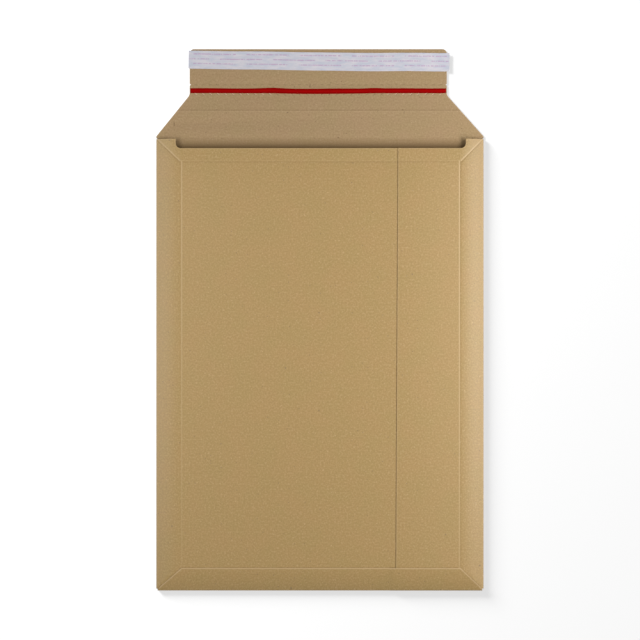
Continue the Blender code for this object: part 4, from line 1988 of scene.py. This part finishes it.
def dress_hidden_films() -> None:
    """Finish the adhesive under the liner and the two glue lines between the layers."""
    cloudy = {"clouds": (220.0, 4.0, 0.5), "spread": (0.35, 0.65), "depth": 0.00005}
    tack = CloudyFinish("tacky_adhesive", light=(0.60, 0.56, 0.46), dark=(0.70, 0.68, 0.60),
                        roughness=(0.17, 0.33), **cloudy).make()
    set_glue = CloudyFinish("dried_glue", light=(0.58, 0.50, 0.36), dark=(0.70, 0.66, 0.54),
                            roughness=(0.34, 0.50), **cloudy).make()
    for node, finish in (("adhesive_strip", tack), ("seam_glue", set_glue),
                         ("bottom_glue", set_glue)):
        dress(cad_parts[node], [finish])


# Studio: floor, lamps and camera


@dataclass(frozen=True)
class Softbox:
    """Rectangular soft lamp that faces the middle of the table."""

    name: str
    place: Vector
    width: float
    height: float
    level: float                # 1 renders a colour as it is written

    def hang(self) -> bpy.types.Object:
        """Hang the lamp.

        Its power is set so that it alone would light the table at its level.

        Returns:
            The lamp.
        """
        data = bpy.data.lights.new(self.name, "AREA")
        data.shape = "RECTANGLE"
        data.size = self.width
        data.size_y = self.height
        distance = self.place.length
        slant = self.place.z / distance
        data.energy = self.level * math.pi ** 2 * distance ** 2 / slant
        lamp = bpy.data.objects.new(self.name, data)
        lamp.location = self.place
        lamp.rotation_euler = (-self.place).to_track_quat("-Z", "Y").to_euler()
        bpy.context.scene.collection.objects.link(lamp)
        return lamp


def rays_of_view(tree: bpy.types.NodeTree) -> Socket:
    """Tell rays of view from rays that light something.

    Args:
        tree: Node tree of a material or of the world.

    Returns:
        1 where the camera looks, also by a mirror or through glass, and 0 elsewhere.
    """
    rays = tree.nodes.new("ShaderNodeLightPath")
    seen = rays.outputs["Is Camera Ray"]
    for name in ("Is Glossy Ray", "Is Transmission Ray"):
        either = tree.nodes.new("ShaderNodeMath")
        either.operation = "MAXIMUM"
        tree.links.new(seen, either.inputs[0])
        tree.links.new(rays.outputs[name], either.inputs[1])
        seen = either.outputs["Value"]
    return seen


@dataclass
class Studio:
    """White table, soft light and the camera straight above."""

    picture: int = 640                  # width of the photograph in pixels
    pixel: float = 0.00100856           # and of one of its pixels, at the outline's height
    centre: Pair = (0.0001, -0.00025)
    outline_z: float = 0.001
    lens: float = 100.0
    sensor: float = 36.0
    floor_size: float = 6.0
    floor_gap: float = 0.00006
    floor_colour: Colour = (0.50, 0.50, 0.50)
    floor_roughness: float = 0.9
    floor_glow: float = 0.613
    world_level: float = 0.25
    lamps: tuple[Softbox, ...] = (
        Softbox("right_softbox", Vector((0.48, 0.03, 0.42)), width=0.60, height=0.22, level=0.515),
        Softbox("left_softbox", Vector((-0.48, 0.03, 0.42)), width=0.60, height=0.22, level=0.26))
    table_lamp: Softbox = Softbox("table_lamp", Vector((-1.85, 1.50, 0.52)), width=1.0,
                                  height=0.44, level=0.68)

    def build(self) -> None:
        """Set up the table, the light, the world and the camera."""
        floor = self.lay_floor()
        self.share_light("table_light", self.table_lamp.hang(), floor, "INCLUDE")
        for lamp in self.lamps:
            self.share_light(lamp.name, lamp.hang(), floor, "EXCLUDE")
        self.light_world()
        self.place_camera()
        bpy.context.scene.view_settings.view_transform = "Standard"

    @staticmethod
    def share_light(name: str, lamp: bpy.types.Object, floor: bpy.types.Object,
                    state: str) -> None:
        """Let a lamp light the table alone, or all but the table.

        Args:
            name: Name of the lamp's list of receivers.
            lamp: The lamp.
            floor: The table.
            state: INCLUDE for the table alone, EXCLUDE for all but the table.
        """
        receivers = bpy.data.collections.new(name)
        receivers.objects.link(floor)
        receivers.collection_objects[0].light_linking.link_state = state
        lamp.light_linking.receiver_collection = receivers

    def lay_floor(self) -> bpy.types.Object:
        """Lay the white table under the envelope.

        Returns:
            The table.
        """
        half = self.floor_size / 2
        floor = new_sheet("table", (-half, -half), (half, half))
        shape_sheet(floor, lambda x, y: Vector((x, y, -self.floor_gap)))
        floor.data.materials.append(self.mix_floor())
        return floor

    def mix_floor(self) -> bpy.types.Material:
        """Mix the table's white, which keeps the shadow and never lights the envelope more.

        Returns:
            The table's material.
        """
        recipe = Recipe("white_table")
        glow = recipe.maths("MULTIPLY", rays_of_view(recipe.tree), self.floor_glow)
        recipe.set(Base_Color=self.floor_colour, Roughness=self.floor_roughness,
                   Specular_IOR_Level=0.0, Emission_Color=WHITE, Emission_Strength=glow)
        return recipe.material

    def light_world(self) -> None:
        """Light the scene evenly from all sides, and show plain white to the camera."""
        world = bpy.data.worlds.new("studio")
        bpy.context.scene.world = world
        world.use_nodes = True
        tree = world.node_tree
        background = tree.nodes["Background"]
        background.inputs["Color"].default_value = (*WHITE, 1.0)
        level = tree.nodes.new("ShaderNodeMapRange")
        level.inputs["To Min"].default_value = self.world_level
        level.inputs["To Max"].default_value = 1.0
        tree.links.new(rays_of_view(tree), level.inputs["Value"])
        tree.links.new(level.outputs["Result"], background.inputs["Strength"])

    def place_camera(self) -> None:
        """Hang the camera straight above the table, as the photograph was taken."""
        data = bpy.data.cameras.new("camera")
        data.lens = self.lens
        data.sensor_width = self.sensor
        camera = bpy.data.objects.new("camera", data)
        width = self.picture * self.pixel
        height = self.outline_z + width * self.lens / self.sensor
        camera.location = (*self.centre, height)
        bpy.context.scene.collection.objects.link(camera)
        bpy.context.scene.camera = camera


def main() -> None:
    """Build the envelope's pieces in order, then the studio."""
    logging.basicConfig(level=logging.INFO, format="%(message)s")
    finishes = mix_board_finishes()
    form = BoardForm(*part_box("folded_board"))
    flap_low, flap_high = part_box("closing_flap")
    FoldedBoard(form).build(finishes)
    flap = ClosingFlap(flap_low, flap_high, crease_y=form.crease_y)
    flap.build(finishes)
    SpineWeb(form, flap_low).build(finishes)
    TornLips(flap).build(mix_torn_fibre())
    TearTape(*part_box("tear_strip")).build(TearTapeFinish().make())
    ReleaseLiner(*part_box("release_liner")).build(LinerFinish().make())
    dress_hidden_films()
    Studio().build()


if __name__ == "__main__":
    main()
